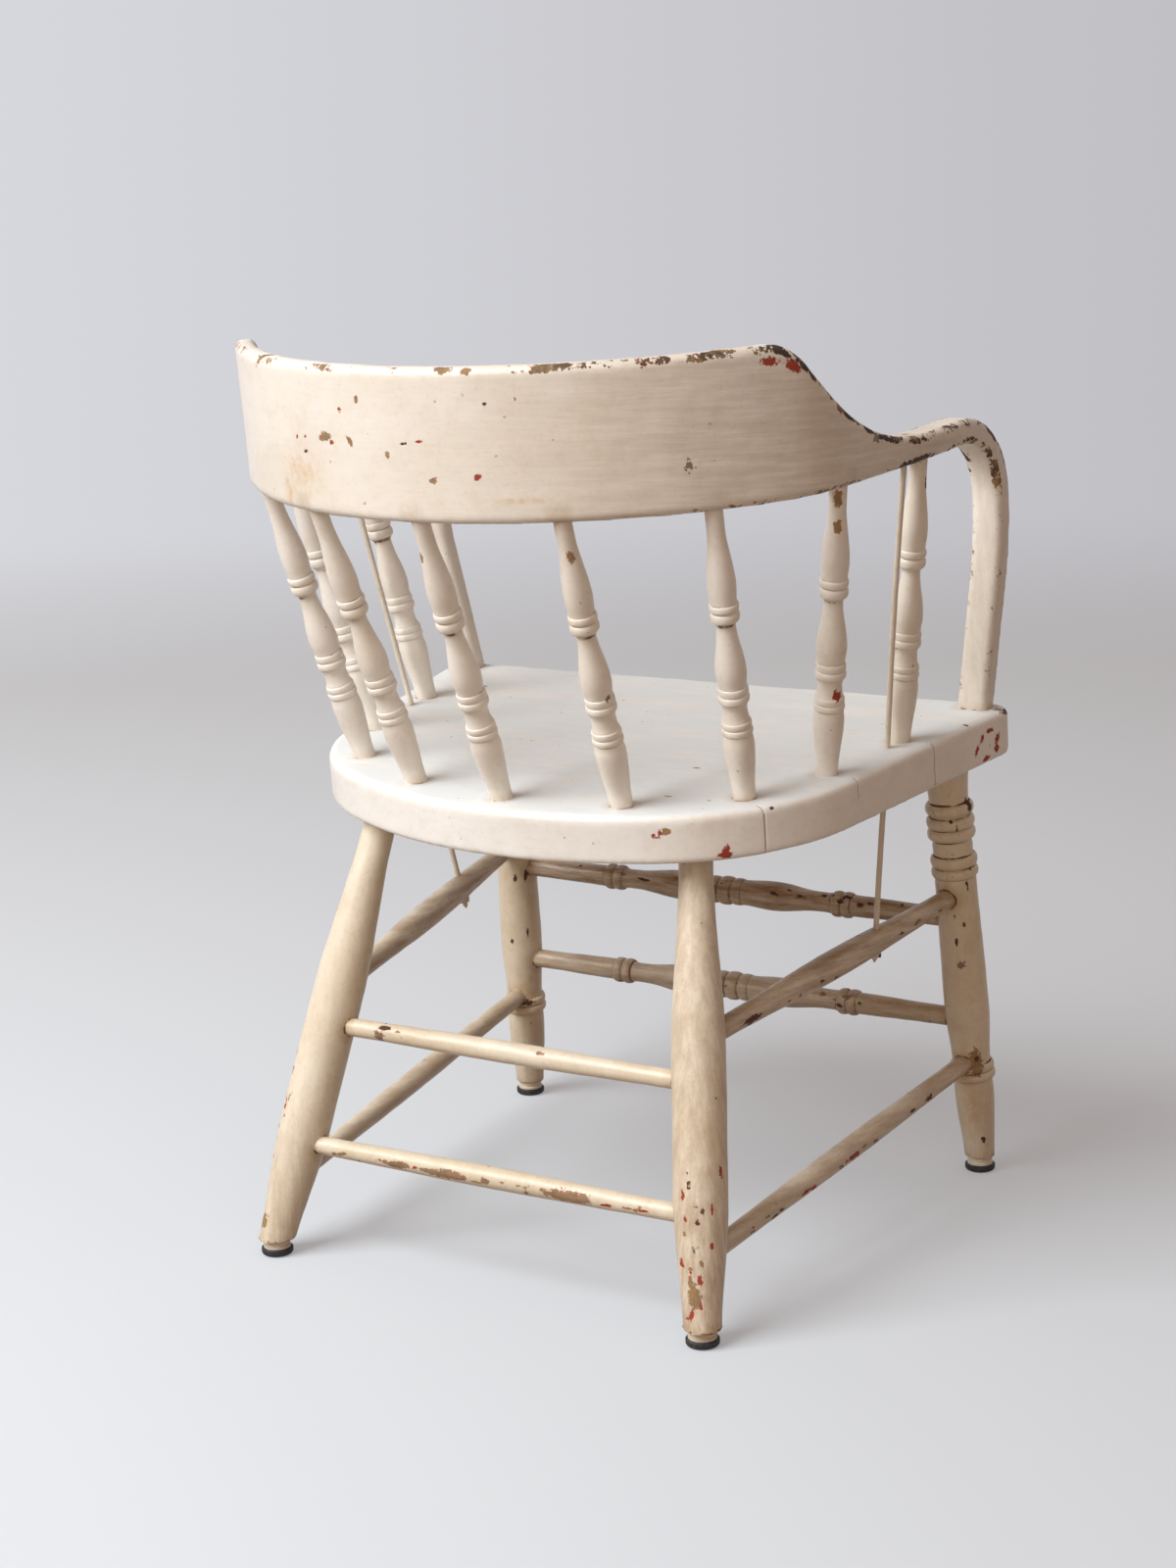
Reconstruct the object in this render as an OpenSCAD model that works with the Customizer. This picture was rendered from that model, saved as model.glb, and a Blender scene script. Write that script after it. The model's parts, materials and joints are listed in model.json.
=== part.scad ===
// Bow-back wooden armchair: a bent bow stands on nine turned spindles and two
// posts over a glued-up seat, four splayed legs carry it on eight stretchers,
// and a steel rod at each side ties the arm, the seat and a stretcher together.
// Right and left are the sitter's. The chair faces -Y.

/* [Seat] */
// Height of the seat top above the floor, at the seat's own origin
seat_height = 436; // [400:1:480]
// Fall of the seat towards the back, in degrees
seat_fall = 5.1; // [2:0.1:8]
// Thickness of the seat boards
seat_thick = 41; // [36:1:48]
// Half the width of the seat, level with the seat's origin
seat_half = 266; // [240:1:300]
// Widening of each side per millimetre towards the front
seat_flare = 0.16; // [0.1:0.01:0.3]
// Distance from the seat's origin to the front edge
seat_front = 205; // [180:1:240]
// Distance from the seat's origin to the back edge
seat_back = 212; // [190:1:230]
// Radius of the curved back edge
seat_back_radius = 370; // [340:5:440]
// Radius of the two back corners
seat_corner_radius = 178; // [140:1:190]
// Sideways shift of the back edge's centre: the seat is a little uneven
seat_skew = -18; // [-20:1:20]
// Radius of the two front corners
seat_front_radius = 20; // [10:1:30]
// Places of the three glue joints, measured back from the seat's origin
board_joints = [-72, 40, 134]; // [-150:1:190]

/* [Bow] */
// Height of the rail's lower edge above the seat
rail_rise = 250; // [220:1:290]
// Width of the bent board across the back
rail_width = 122; // [90:1:150]
// Thickness of the rail along its lower edge
rail_thick = 25; // [23:1:32]
// Thickness of the rail along its upper edge
rail_top_thick = 18; // [14:1:22]
// Outward lean of the rail per millimetre of height
rail_lean = 0.01; // [0:0.01:0.15]
// Distance from the seat's origin to the middle of the rail's back
bow_back = 261; // [240:1:290]
// Radius of the bow across the back
bow_back_radius = 305; // [280:1:330]
// Turn of the back bend, in degrees
bow_back_turn = 56; // [50:0.5:60]
// Radius of the bow's side bends
bow_side_radius = 70; // [60:1:100]
// Turn of the side bend, in degrees
bow_side_turn = 23.5; // [18:0.5:28]
// Length of the arm between the side bend and its downward bend
arm_run = 209; // [170:1:240]
// Turn of the arm over that length, in degrees
arm_turn = 7.4; // [4:0.2:9]
// Depth of the arm, top to bottom
arm_depth = 22; // [20:1:28]
// Width of the arm across its top
arm_width = 29; // [25:1:34]
// Radius of the arm's downward bend, at mid-depth
arm_bend_radius = 67; // [50:1:80]
// Where each post's foot stands, out from the middle: right, then left
post_foot_out = [266, 272]; // [240:1:290]
// How far the post's foot stands ahead of the bend
post_foot_ahead = 12; // [0:1:25]
// Depth of the post's foot in the seat
post_foot_depth = 22; // [20:1:30]
// Distance along the bow, from the middle, where the crest starts to fall
crest_end = 284; // [240:1:300]
// Length of the rounded shoulder of that fall
crest_shoulder = 36; // [30:1:60]
// Length of the hollow from the shoulder to the arm
crest_hollow = 170; // [120:1:180]

/* [Spindles] */
// Inset of the spindle feet from the seat's edge
spindle_inset = 30; // [25:1:40]
// Where the spindles stand: distance along the bow, out from the middle
spindle_stations = [0, 119, 236, 357, 477]; // [0:1:500]
// Feet of the right spindles, back from the seat's origin, from the middle out
spindle_feet_y = [180.5, 169.5, 118.5, 38.5, -68]; // [-120:0.5:200]
// How much further forward the left spindles' feet stand
left_feet_ahead = 8; // [0:1:12]
// Diameter of the spindle where it enters the seat
spindle_foot_d = 19; // [16:0.5:22]
// Diameter of the spindle where it enters the rail
spindle_top_d = 14.6; // [12:0.2:16]
// Largest diameter of the turned beads and swells
spindle_bead_d = 26; // [23:0.5:30]
// Depth of the spindle's foot in the seat
spindle_foot_depth = 22; // [16:1:28]
// Depth of the spindle's top in the rail
spindle_top_depth = 12; // [8:1:14]

/* [Legs] */
// Place of a rear leg under the seat: out from the middle, back from the origin
rear_leg_at = [156, 135]; // [100:1:200]
// Outward splay and backward rake of the rear legs, in degrees
rear_leg_lean = [8.9, 16.1]; // [0:0.1:20]
// Place of a front leg under the seat: out from the middle, back from the origin
front_leg_at = [233, -189]; // [-200:1:250]
// Outward splay and forward rake of the front legs, in degrees
front_leg_lean = [2.4, 6.7]; // [0:0.1:20]
// Largest diameter of the rear legs
rear_leg_d = 45; // [40:1:52]
// Diameter of the rear leg where it enters the seat
rear_leg_top_d = 28.5; // [25:0.5:32]
// Diameter of the rear leg at its foot
rear_leg_foot_d = 33; // [30:1:38]
// Largest diameter of the front legs
front_leg_d = 41; // [38:1:48]
// Diameter of the rings turned on the front legs
front_leg_ring_d = 44; // [41:1:50]
// Diameter of the front leg at its foot
front_leg_foot_d = 29; // [27:1:34]
// Diameter of the front leg's round tenon in the seat
front_leg_tenon_d = 26; // [22:1:30]
// Depth of all four legs in the seat
leg_depth = 28; // [22:1:32]

/* [Stretchers] */
// Heights of the rear stretchers above the floor: lower, then upper
rear_stretcher_z = [98, 200]; // [80:1:230]
// Heights of the front stretchers above the floor: lower, then upper
front_stretcher_z = [151, 249]; // [130:1:260]
// Heights of the lower side stretchers at the rear leg and the front leg
side_lower_z = [66, 112]; // [60:1:130]
// Heights of the upper side stretchers at the rear leg and the front leg
side_upper_z = [232, 273]; // [220:1:290]
// Diameter of the rear stretchers: ends, then middle
rear_stretcher_d = [16, 19]; // [14:0.5:22]
// Diameter of the lower side stretchers: ends, then middle
side_lower_d = [17, 20]; // [14:0.5:24]
// Diameter of the upper side stretchers: ends, then middle
side_upper_d = [18, 25]; // [16:0.5:28]
// Diameter of the turned front stretchers: ends, then the fattest swell
front_stretcher_d = [18, 28]; // [16:0.5:32]
// Distance of the stretchers' bead pairs from the middle
front_bead_at = 122; // [100:1:140]

/* [Tie rods] */
// Diameter of the rods
rod_d = 5; // [4:0.5:6]
// Where the rods pass through the arms: distance along the bow
rod_station = 454; // [440:1:465]
// Where the rods cross the upper side stretchers, as a share from the front
rod_cross = 0.34; // [0.3:0.01:0.5]
// Diameter of the rod's head
rod_head_d = 11; // [9:0.5:14]
// Width of the square nut
nut_width = 10; // [8:0.5:12]
// Thickness of the square nut
nut_thick = 5; // [4:0.5:6]
// Length of the rod's end beyond the nut
rod_tip = 7; // [4:1:12]

/* [Glides] */
// Height of the glide under each leg
glide_h = 14; // [12:0.5:18]
// Diameter of the rubber pad
pad_d = 28; // [24:1:32]
// Diameter of the steel collar
collar_d = 24; // [20:1:26]
// Height of the rubber pad's rim
pad_rim_h = 7; // [5:0.5:8]
// Thickness of the rubber under the collar
pad_floor = 3.5; // [2:0.5:4.5]
// Diameter of the glide's nail
nail_d = 3; // [2:0.5:4]
// Length of the nail in the leg
nail_length = 18; // [12:1:24]

/* [Hidden] */
// Glue gap round each tenon, on the diameter
glue_gap = 0.2;
// Air left at the bottom of each socket
socket_air = 1;
// Gap round the post's foot, on each side
post_gap = 0.6;
// Gap round the tie rods, on the diameter
rod_gap = 1;
// Turn of each round piece about its own line, which keeps its seam off the cuts
seam_turn = 33;
eps = 0.01;
$fn = 48;

// Drop of the front leg's shoulder below the seat, which meets the leg at a slant
shoulder_drop = 1.2;
// Distance from a leg's axis at which a stretcher's end stops
tenon_stop = 2;
// Distance from a stretcher's axis to the flat that the tie rod's nut bears on
nut_seat = side_upper_d[1] / 2 - 2.5;

side_angle = atan(seat_flare);
side_dir = [sin(side_angle), -cos(side_angle)];
side_in = [-cos(side_angle), -sin(side_angle)];
// Centre of the front corner's arc, tangent to the side and to the front edge
front_u = (seat_front - seat_front_radius * (1 + sin(side_angle))) / cos(side_angle);
front_centre = [seat_half, 0] + front_u * side_dir + seat_front_radius * side_in;

back_arc_len = bow_back_radius * bow_back_turn * PI / 180;
side_arc_len = bow_side_radius * bow_side_turn * PI / 180;
side_arc_end_turn = bow_back_turn + bow_side_turn;
arm_radius = arm_run / arm_turn * 180 / PI;
arm_heading = side_arc_end_turn + arm_turn;
bend_start = back_arc_len + side_arc_len + arm_run;
back_arc_end = bow_point_on(0, bow_back, bow_back_radius, 0, bow_back_turn);
side_arc_end = bow_point_on(back_arc_end[0], back_arc_end[1], bow_side_radius,
                            bow_back_turn, side_arc_end_turn);
// Distance between the rings of the swept bow
bow_step = 9;
// Height of the arm's middle, and of the lower end of its bend, over the seat
arm_mid = rail_rise + arm_depth / 2;
bend_low = arm_mid - arm_bend_radius;
// Share of the crest's height lost over its shoulder, and how the hollow flattens
crest_knee = 0.28;
crest_power = 2.6;
// Bevel along the bow's four long edges
edge_bevel = 4;

// The whole chair is moved so that its box is centred over the origin
rail_top = rail_rise + rail_width;
box_back = (bow_back + rail_thick / 2 + rail_lean * rail_width) * cos(seat_fall)
  + (rail_top - edge_bevel) * sin(seat_fall);
box_front = foot_raw(1, 0)[1] - pad_d / 2;
y_shift = -(box_back + box_front) / 2;

// Distance from the arm's underside to the top of a rod's head, along the rod
rod_arm_rise = arm_depth + 0.9;
rod_span = norm(rod_low(1) - rod_arm(1));

SIDES = [-1, 1];

// ---- Places ----------------------------------------------------------------

// Turns a place in the seat's own frame into a place in the chair's frame
function from_seat(p) = [
  p[0],
  p[1] * cos(seat_fall) + p[2] * sin(seat_fall),
  seat_height - p[1] * sin(seat_fall) + p[2] * cos(seat_fall)
];

function shifted(p) = p + [0, y_shift, 0];

// Points on an arc that starts with a given heading and turns to another
function bow_point_on(x, y, r, from, to) = [
  x + r * (sin(to) - sin(from)),
  y - r * (cos(from) - cos(to))
];

// Heading of the bow's plan line, in degrees, at a distance from the middle
function heading(s) =
  s < back_arc_len ? s / bow_back_radius * 180 / PI :
  s < back_arc_len + side_arc_len
    ? bow_back_turn + (s - back_arc_len) / bow_side_radius * 180 / PI
    : side_arc_end_turn + (s - back_arc_len - side_arc_len) / arm_radius * 180 / PI;

// The bow's plan line on the left side, in the seat's frame
function plan(s) =
  s < back_arc_len
    ? bow_point_on(0, bow_back, bow_back_radius, 0, heading(s)) :
  s < back_arc_len + side_arc_len
    ? bow_point_on(back_arc_end[0], back_arc_end[1], bow_side_radius,
                   bow_back_turn, heading(s))
    : bow_point_on(side_arc_end[0], side_arc_end[1], arm_radius,
                   side_arc_end_turn, heading(s));

// Height of the bow's upper edge over its lower edge: crest, fall, arm
function bow_height(s) =
  let (fall = s < crest_end + crest_shoulder
    ? 1 - crest_knee * pow(max(0, s - crest_end) / crest_shoulder, 2)
    : (1 - crest_knee)
      * pow(max(0, 1 - (s - crest_end - crest_shoulder) / crest_hollow), crest_power))
  arm_depth + (rail_width - arm_depth) * fall;

// Place of the arm's bend: middle of the section at an angle round the bend
function bend_point(side, a) =
  let (p = plan(bend_start), run = arm_bend_radius * sin(a))
  [p[0] + run * cos(arm_heading), p[1] - run * sin(arm_heading),
   bend_low + arm_bend_radius * cos(a)];

// Middle of the post at a height over the seat, eased in and forward to its foot
function post_point(side, z) =
  let (top = bend_point(side, 90), t = (bend_low - z) / bend_low,
       out = post_foot_out[side > 0 ? 1 : 0])
  [top[0] + (out - top[0]) * post_ease(t), top[1] - post_foot_ahead * post_ease(t), z];

// Grows from a standing start to an even slope
function post_ease(t) = t < 0.4 ? t * t / 0.64 : 0.25 + 1.25 * (t - 0.4);

function foot_tangent(side) =
  unit(post_point(side, 0) - post_point(side, bend_low / 4));

function unit(v) = v / norm(v);

// Axis of a leg: its place at the seat's underside, then at the floor end
function leg_top_raw(front, side) =
  let (at = front ? front_leg_at : rear_leg_at)
  from_seat([(side < 0 ? -1 : 1) * at[0], at[1], -seat_thick]);
function leg_slope(front, side) =
  let (lean = front ? front_leg_lean : rear_leg_lean)
  [(side < 0 ? -1 : 1) * tan(lean[0]), (front ? -1 : 1) * tan(lean[1]), -1];
function foot_raw(front, side) =
  let (top = leg_top_raw(front == 1, side))
  top + (top[2] - glide_h) * leg_slope(front == 1, side);
function leg_at(front, side, z) =
  let (top = leg_top_raw(front, side))
  shifted(top + (top[2] - z) * leg_slope(front, side));
// The floor straight below the middle of a leg's foot
function under_foot(front, side) =
  let (foot = leg_at(front, side, glide_h)) [foot[0], foot[1], 0];

// Foot and top of a spindle, in the seat's frame; n runs from -4 to 4
function spindle_top(n) =
  let (p = plan(spindle_stations[abs(n)]))
  [sign(n) * p[0], p[1], rail_rise];
function spindle_foot(n) =
  let (y = spindle_feet_y[abs(n)] - (n > 0 ? left_feet_ahead : 0))
  [sign(n) * spindle_foot_x(n < 0 ? -1 : 1, abs(n), y), y, 0];
// The feet stand one inset inside the seat's edge
function spindle_foot_x(side, n, y) =
  let (bc = back_centre(side), cc = corner_centre(side), turn = corner_turn(side),
       back_r = seat_back_radius - spindle_inset,
       corner_r = seat_corner_radius - spindle_inset)
  n == 0 ? 0 :
  y > cc[1] + corner_r * sin(turn)
    ? bc[0] + sqrt(pow(back_r, 2) - pow(y - bc[1], 2)) :
  y > cc[1] + corner_r * sin(side_angle)
    ? cc[0] + sqrt(pow(corner_r, 2) - pow(y - cc[1], 2))
    : seat_half - spindle_inset / cos(side_angle) - y * seat_flare;

// The rod's line: its place in the arm and its crossing of the stretcher
function rod_arm(side) =
  let (p = plan(rod_station)) shifted(from_seat([side * p[0], p[1], rail_rise]));
function rod_low(side) =
  leg_at(true, side, side_upper_z[1]) * (1 - rod_cross)
  + leg_at(false, side, side_upper_z[0]) * rod_cross;
function rod_dir(side) = unit(rod_low(side) - rod_arm(side));

// ---- Shapes ----------------------------------------------------------------

// Puts the children on a line: their +Z runs from p towards q
module aim(p, q) {
  d = q - p;
  translate(p)
    rotate([0, acos(d[2] / norm(d)), atan2(d[1], d[0])])
      rotate(seam_turn)
        children();
}

module seated() {
  translate([0, y_shift, seat_height])
    rotate([-seat_fall, 0, 0])
      children();
}

// A span of a turned outline from [z, r] to [z, r], eased like a vase's side
function eased(a, b, n = 6) = [
  for (i = [0 : n - 1])
    let (t = i / n)
    [a[0] + (b[0] - a[0]) * t, a[1] + (b[1] - a[1]) * (1 - cos(180 * t)) / 2]
];
// A straight span
function straight(a, b) = [a, a * 0.5 + b * 0.5];
// A half-round bead between two grooves of equal radius
function bead(z, half_w, groove_r, crest_r) = [
  for (a = [180 : -30 : 30])
    [z + half_w * cos(a), groove_r + (crest_r - groove_r) * sin(a)]
];

module turned(outline) {
  first = outline[0];
  last = outline[len(outline) - 1];
  rotate_extrude()
    polygon(concat([[0, first[0]]], [for (p = outline) [p[1], p[0]]], [[0, last[0]]]));
}

function arc(centre, r, from, to, n) = [
  for (i = [0 : n])
    let (a = from + (to - from) * i / n)
    [centre[0] + r * cos(a), centre[1] + r * sin(a)]
];

// ---- Seat ------------------------------------------------------------------

// Centre of the back edge's arc; the right side is drawn in the mirror
function back_centre(side) = [side * seat_skew, seat_back - seat_back_radius];
// Centre of the back corner's arc, tangent to the back arc and to the side
function corner_centre(side) =
  let (q = [seat_half, 0] + seat_corner_radius * side_in - back_centre(side),
       u = -q * side_dir
         - sqrt(pow(q * side_dir, 2) - q * q
                + pow(seat_back_radius - seat_corner_radius, 2)))
  back_centre(side) + q + u * side_dir;
function corner_turn(side) =
  let (d = corner_centre(side) - back_centre(side)) atan2(d[1], d[0]);

// Half of the seat's outline, from the middle of the back to the front
function seat_side(side) =
  let (turn = corner_turn(side), start = acos(-side * seat_skew / seat_back_radius))
  concat(
    arc(back_centre(side), seat_back_radius, start, turn, 8),
    arc(corner_centre(side), seat_corner_radius, turn - 6, side_angle, 9),
    arc(front_centre, seat_front_radius, side_angle, -90, 5)
  );

module seat_outline() {
  left = seat_side(1);
  right = seat_side(-1);
  polygon(concat(left, [for (i = [len(right) - 1 : -1 : 1]) [-right[i][0], right[i][1]]]));
}

// Everything that is bored into the seat
module seat_sockets() {
  seated() {
    for (n = [-4 : 4])
      aim(spindle_foot(n), spindle_top(n))
        translate([0, 0, -spindle_foot_depth - socket_air])
          cylinder(d = spindle_foot_d + glue_gap, h = 2 * spindle_foot_depth);
    for (side = SIDES)
      post_mortise(side);
  }
  for (side = SIDES) {
    aim(leg_at(true, side, 0), leg_at(true, side, seat_height))
      translate([0, 0, leg_length(true, side) + leg_foot_rise(true, side)
                 - leg_depth])
        cylinder(d = front_leg_tenon_d + glue_gap, h = 2 * leg_depth + socket_air);
    aim(leg_at(false, side, 0), leg_at(false, side, seat_height))
      translate([0, 0, leg_length(false, side) + leg_foot_rise(false, side)
                 - leg_depth])
        cylinder(d = rear_leg_top_d + glue_gap, h = 2 * leg_depth + socket_air);
    aim(rod_arm(side), rod_low(side))
      cylinder(d = rod_d + rod_gap, h = rod_span);
  }
}

// The slot that a post's foot stands in
module post_mortise(side) {
  t = foot_tangent(side);
  out = [sin(arm_heading), cos(arm_heading), 0];
  e1 = unit(out - (out * t) * t);
  e2 = cross(t, e1);
  p = post_point(side, 0);
  w = arm_width / 2 + post_gap;
  d = arm_depth / 2 + post_gap;
  mirror([side < 0 ? 1 : 0, 0, 0])
    multmatrix([[e1[0], e2[0], -t[0], p[0]],
                [e1[1], e2[1], -t[1], p[1]],
                [e1[2], e2[2], -t[2], p[2]],
                [0, 0, 0, 1]])
      translate([-w, -d, -post_foot_depth - socket_air])
        cube([2 * w, 2 * d, 2 * post_foot_depth]);
}

// One board of the seat, between two glue joints
module seat_board(from, to) {
  color("ivory")
    difference() {
      seated()
        intersection() {
          translate([0, 0, -seat_thick])
            linear_extrude(seat_thick)
              seat_outline();
          translate([-2 * seat_half, from, -2 * seat_thick])
            cube([4 * seat_half, to - from, 4 * seat_thick]);
        }
      seat_sockets();
    }
}

module seat_board_front() {
  seat_board(-2 * seat_front, board_joints[0]);
}

module seat_board_middle_front() {
  seat_board(board_joints[0], board_joints[1]);
}

module seat_board_middle_rear() {
  seat_board(board_joints[1], board_joints[2]);
}

module seat_board_rear() {
  seat_board(board_joints[2], 2 * seat_back);
}

// ---- Bow -------------------------------------------------------------------

// One ring of the swept bow: eight corners of a bevelled section.
// p is the ring's origin, e1 points outwards and e2 up or forward.
function ring(p, e1, e2, in_low, out_low, in_top, out_top, low, top) =
  let (b = edge_bevel)
  [for (c = [[in_low + b, low], [out_low - b, low], [out_low, low + b],
             [out_top, top - b], [out_top - b, top], [in_top + b, top],
             [in_top, top - b], [in_low, low + b]])
    p + c[0] * e1 + c[1] * e2];

function plan_ring(s) =
  let (p = plan(s), a = heading(s), h = bow_height(s),
       full = (h - arm_depth) / (rail_width - arm_depth),
       low_half = (arm_width + (rail_thick - arm_width) * full) / 2,
       top_out = low_half + rail_lean * h * full,
       top_thick = arm_width + (rail_top_thick - arm_width) * full)
  ring([p[0], p[1], rail_rise], [sin(a), cos(a), 0], [0, 0, 1],
       -low_half, low_half, top_out - top_thick, top_out, 0, h);

// A ring round the middle of the arm or post
function arm_ring(p, t) =
  let (out = [sin(arm_heading), cos(arm_heading), 0],
       e1 = unit(out - (out * t) * t), e2 = cross(t, e1),
       w = arm_width / 2, d = arm_depth / 2)
  ring(p, e1, e2, -w, w, -w, w, -d, d);

function bend_tangent(a) =
  [cos(arm_heading) * cos(a), -sin(arm_heading) * cos(a), -sin(a)];

function half_rings(side) =
  let (t = foot_tangent(side), drop = 8)
  concat(
    [for (s = [bow_step / 2 : bow_step : bend_start - bow_step / 4]) plan_ring(s)],
    [for (a = [0 : 10 : 90]) arm_ring(bend_point(side, a), bend_tangent(a))],
    [for (i = [1 : drop - 1])
      let (z = bend_low * (1 - i / drop),
           u = unit(post_point(side, z - 2) - post_point(side, z + 2)))
      arm_ring(post_point(side, z), u)],
    [arm_ring(post_point(side, 0), t),
     arm_ring(post_point(side, 0) + post_foot_depth * t, t)]
  );

// Right-hand rings are the left-hand ones in the mirror
function mirrored(rings) = [for (r = rings) [for (p = r) [-p[0], p[1], p[2]]]];

module swept(rings) {
  n = len(rings);
  k = len(rings[0]);
  faces = concat(
    [for (i = [0 : n - 2], j = [0 : k - 1])
      [i * k + j, i * k + (j + 1) % k, (i + 1) * k + (j + 1) % k]],
    [for (i = [0 : n - 2], j = [0 : k - 1])
      [i * k + j, (i + 1) * k + (j + 1) % k, (i + 1) * k + j]],
    [[for (j = [k - 1 : -1 : 0]) j]],
    [[for (j = [0 : k - 1]) (n - 1) * k + j]]
  );
  polyhedron([for (r = rings, p = r) p], faces, convexity = 8);
}

module bow() {
  right = mirrored(half_rings(-1));
  color("ivory")
    difference() {
      seated()
        difference() {
          swept(concat([for (i = [len(right) - 1 : -1 : 0]) right[i]],
                       half_rings(1)));
          for (n = [-4 : 4])
            aim(spindle_top(n), 2 * spindle_top(n) - spindle_foot(n))
              translate([0, 0, -spindle_top_depth])
                cylinder(d = spindle_top_d + glue_gap,
                         h = 2 * spindle_top_depth + socket_air);
        }
      for (side = SIDES)
        aim(rod_low(side), rod_arm(side))
          translate([0, 0, rod_span - arm_depth]) {
            cylinder(d = rod_d + rod_gap, h = 3 * arm_depth);
            translate([0, 0, arm_depth + rod_arm_rise - rod_d / 2])
              cylinder(d = rod_head_d + rod_gap, h = arm_depth);
          }
    }
}

// ---- Spindles --------------------------------------------------------------

// Outline of a spindle of a given bare length between the seat and the rail.
// The beads are measured up from the foot as shares of that length.
function spindle_outline(bare) =
  let (foot = spindle_foot_d / 2, top = spindle_top_d / 2, r = spindle_bead_d / 2,
       neck = 0.61 * r, waist = 0.79 * r, groove = 0.91 * r, low_bead = 0.965 * r,
       high_bead = 0.92 * r, high_groove = 0.85 * r)
  concat(
    [[-spindle_foot_depth, foot]],
    eased([0.02 * bare, foot], [0.2 * bare, r]),
    eased([0.2 * bare, r], [0.235 * bare, groove], 3),
    bead(0.247 * bare, 0.012 * bare, groove, r),
    bead(0.271 * bare, 0.012 * bare, groove, low_bead),
    eased([0.283 * bare, groove], [0.325 * bare, waist], 4),
    eased([0.325 * bare, waist], [0.348 * bare, groove], 3),
    bead(0.362 * bare, 0.014 * bare, groove, r),
    bead(0.389 * bare, 0.013 * bare, groove, low_bead),
    eased([0.402 * bare, groove], [0.45 * bare, low_bead], 4),
    eased([0.45 * bare, low_bead], [0.617 * bare, neck], 8),
    bead(0.645 * bare, 0.017 * bare, high_groove - 0.6, high_bead),
    bead(0.677 * bare, 0.013 * bare, high_groove, high_bead),
    eased([0.69 * bare, high_groove], [0.745 * bare, 0.89 * r], 4),
    eased([0.745 * bare, 0.89 * r], [0.94 * bare, top], 8),
    [[0.94 * bare, top], [bare + spindle_top_depth, top]]
  );

module spindle(n) {
  color("linen")
    seated()
      aim(spindle_foot(n), spindle_top(n))
        turned(spindle_outline(norm(spindle_top(n) - spindle_foot(n))));
}

// Numbered from the front right round the back to the front left
module spindle_1() { spindle(-4); }
module spindle_2() { spindle(-3); }
module spindle_3() { spindle(-2); }
module spindle_4() { spindle(-1); }
module spindle_5() { spindle(0); }
module spindle_6() { spindle(1); }
module spindle_7() { spindle(2); }
module spindle_8() { spindle(3); }
module spindle_9() { spindle(4); }

// ---- Legs ------------------------------------------------------------------

// Length of a leg's axis from its foot to the seat's underside
function leg_length(front, side) =
  norm(leg_top_raw(front, side) - foot_raw(front ? 1 : 0, side));
// Length of the axis between the floor and the leg's foot
function leg_foot_rise(front, side) = glide_h * norm(leg_slope(front, side));

// A plain rear leg, measured down from the seat's underside at z = h
function rear_leg_outline(h) =
  let (r = rear_leg_d / 2, top = rear_leg_top_d / 2, foot = rear_leg_foot_d / 2)
  concat(
    eased([-glide_h, foot - 1], [105, r], 8),
    eased([105, r], [h - 175, r], 1),
    eased([h - 175, r], [h - 12, top], 10),
    [[h - 12, top], [h + leg_depth, top]]
  );

// A ringed front leg; the upper rings are measured down from the seat's underside
function front_leg_outline(h) =
  let (r = front_leg_d / 2, ring_r = front_leg_ring_d / 2, foot = front_leg_foot_d / 2,
       groove = r - 2, tenon = front_leg_tenon_d / 2)
  concat(
    eased([-glide_h, foot - 1], [68, r - 2.5], 7),
    eased([68, r - 2.5], [80, r - 3], 2),
    bead(84.5, 4.5, r - 3, r + 0.5),
    bead(93, 4, r - 3, r),
    eased([97, r - 3], [150, r], 5),
    eased([150, r], [h - 125, r - 1.5], 4),
    bead(h - 117, 5, groove - 0.5, ring_r - 0.5),
    bead(h - 106, 5.5, groove - 0.5, ring_r - 0.5),
    eased([h - 100, groove - 1], [h - 92, r - 2.2], 2),
    straight([h - 92, r - 2.2], [h - 86, groove - 1]),
    bead(h - 80, 5.5, groove, ring_r),
    bead(h - 69, 5.5, groove, ring_r),
    bead(h - 56, 5.5, groove - 0.5, ring_r),
    eased([h - 50, groove], [h - 4, r + 0.5], 4),
    [[h - shoulder_drop, r + 0.5], [h - shoulder_drop, tenon], [h + leg_depth, tenon]]
  );

// Sockets in one leg for its four stretcher ends and the glide's nail
module leg_sockets(front, side) {
  for (level = [0, 1]) {
    cross_z = front ? front_stretcher_z[level] : rear_stretcher_z[level];
    cross_d = front ? front_stretcher_d[0] : rear_stretcher_d[0];
    aim(leg_at(front, side, cross_z), leg_at(front, -side, cross_z))
      cylinder(d = cross_d + glue_gap, h = 2 * rear_leg_d);
    heights = level == 0 ? side_lower_z : side_upper_z;
    side_d = level == 0 ? side_lower_d[0] : side_upper_d[0];
    aim(leg_at(front, side, heights[front ? 1 : 0]),
        leg_at(!front, side, heights[front ? 0 : 1]))
      cylinder(d = side_d + glue_gap, h = 2 * rear_leg_d);
  }
  translate(leg_at(front, side, glide_h))
    cylinder(d = nail_d + glue_gap, h = nail_length + socket_air);
}

module leg(front, side) {
  color("antiquewhite")
    difference() {
      aim(leg_at(front, side, glide_h), leg_at(front, side, seat_height))
        turned(front ? front_leg_outline(leg_length(front, side))
                     : rear_leg_outline(leg_length(front, side)));
      // The feet are sawn level with the floor
      translate(leg_at(front, side, glide_h) - [rear_leg_d, rear_leg_d, 3 * glide_h])
        cube([2 * rear_leg_d, 2 * rear_leg_d, 3 * glide_h]);
      leg_sockets(front, side);
    }
}

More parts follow.
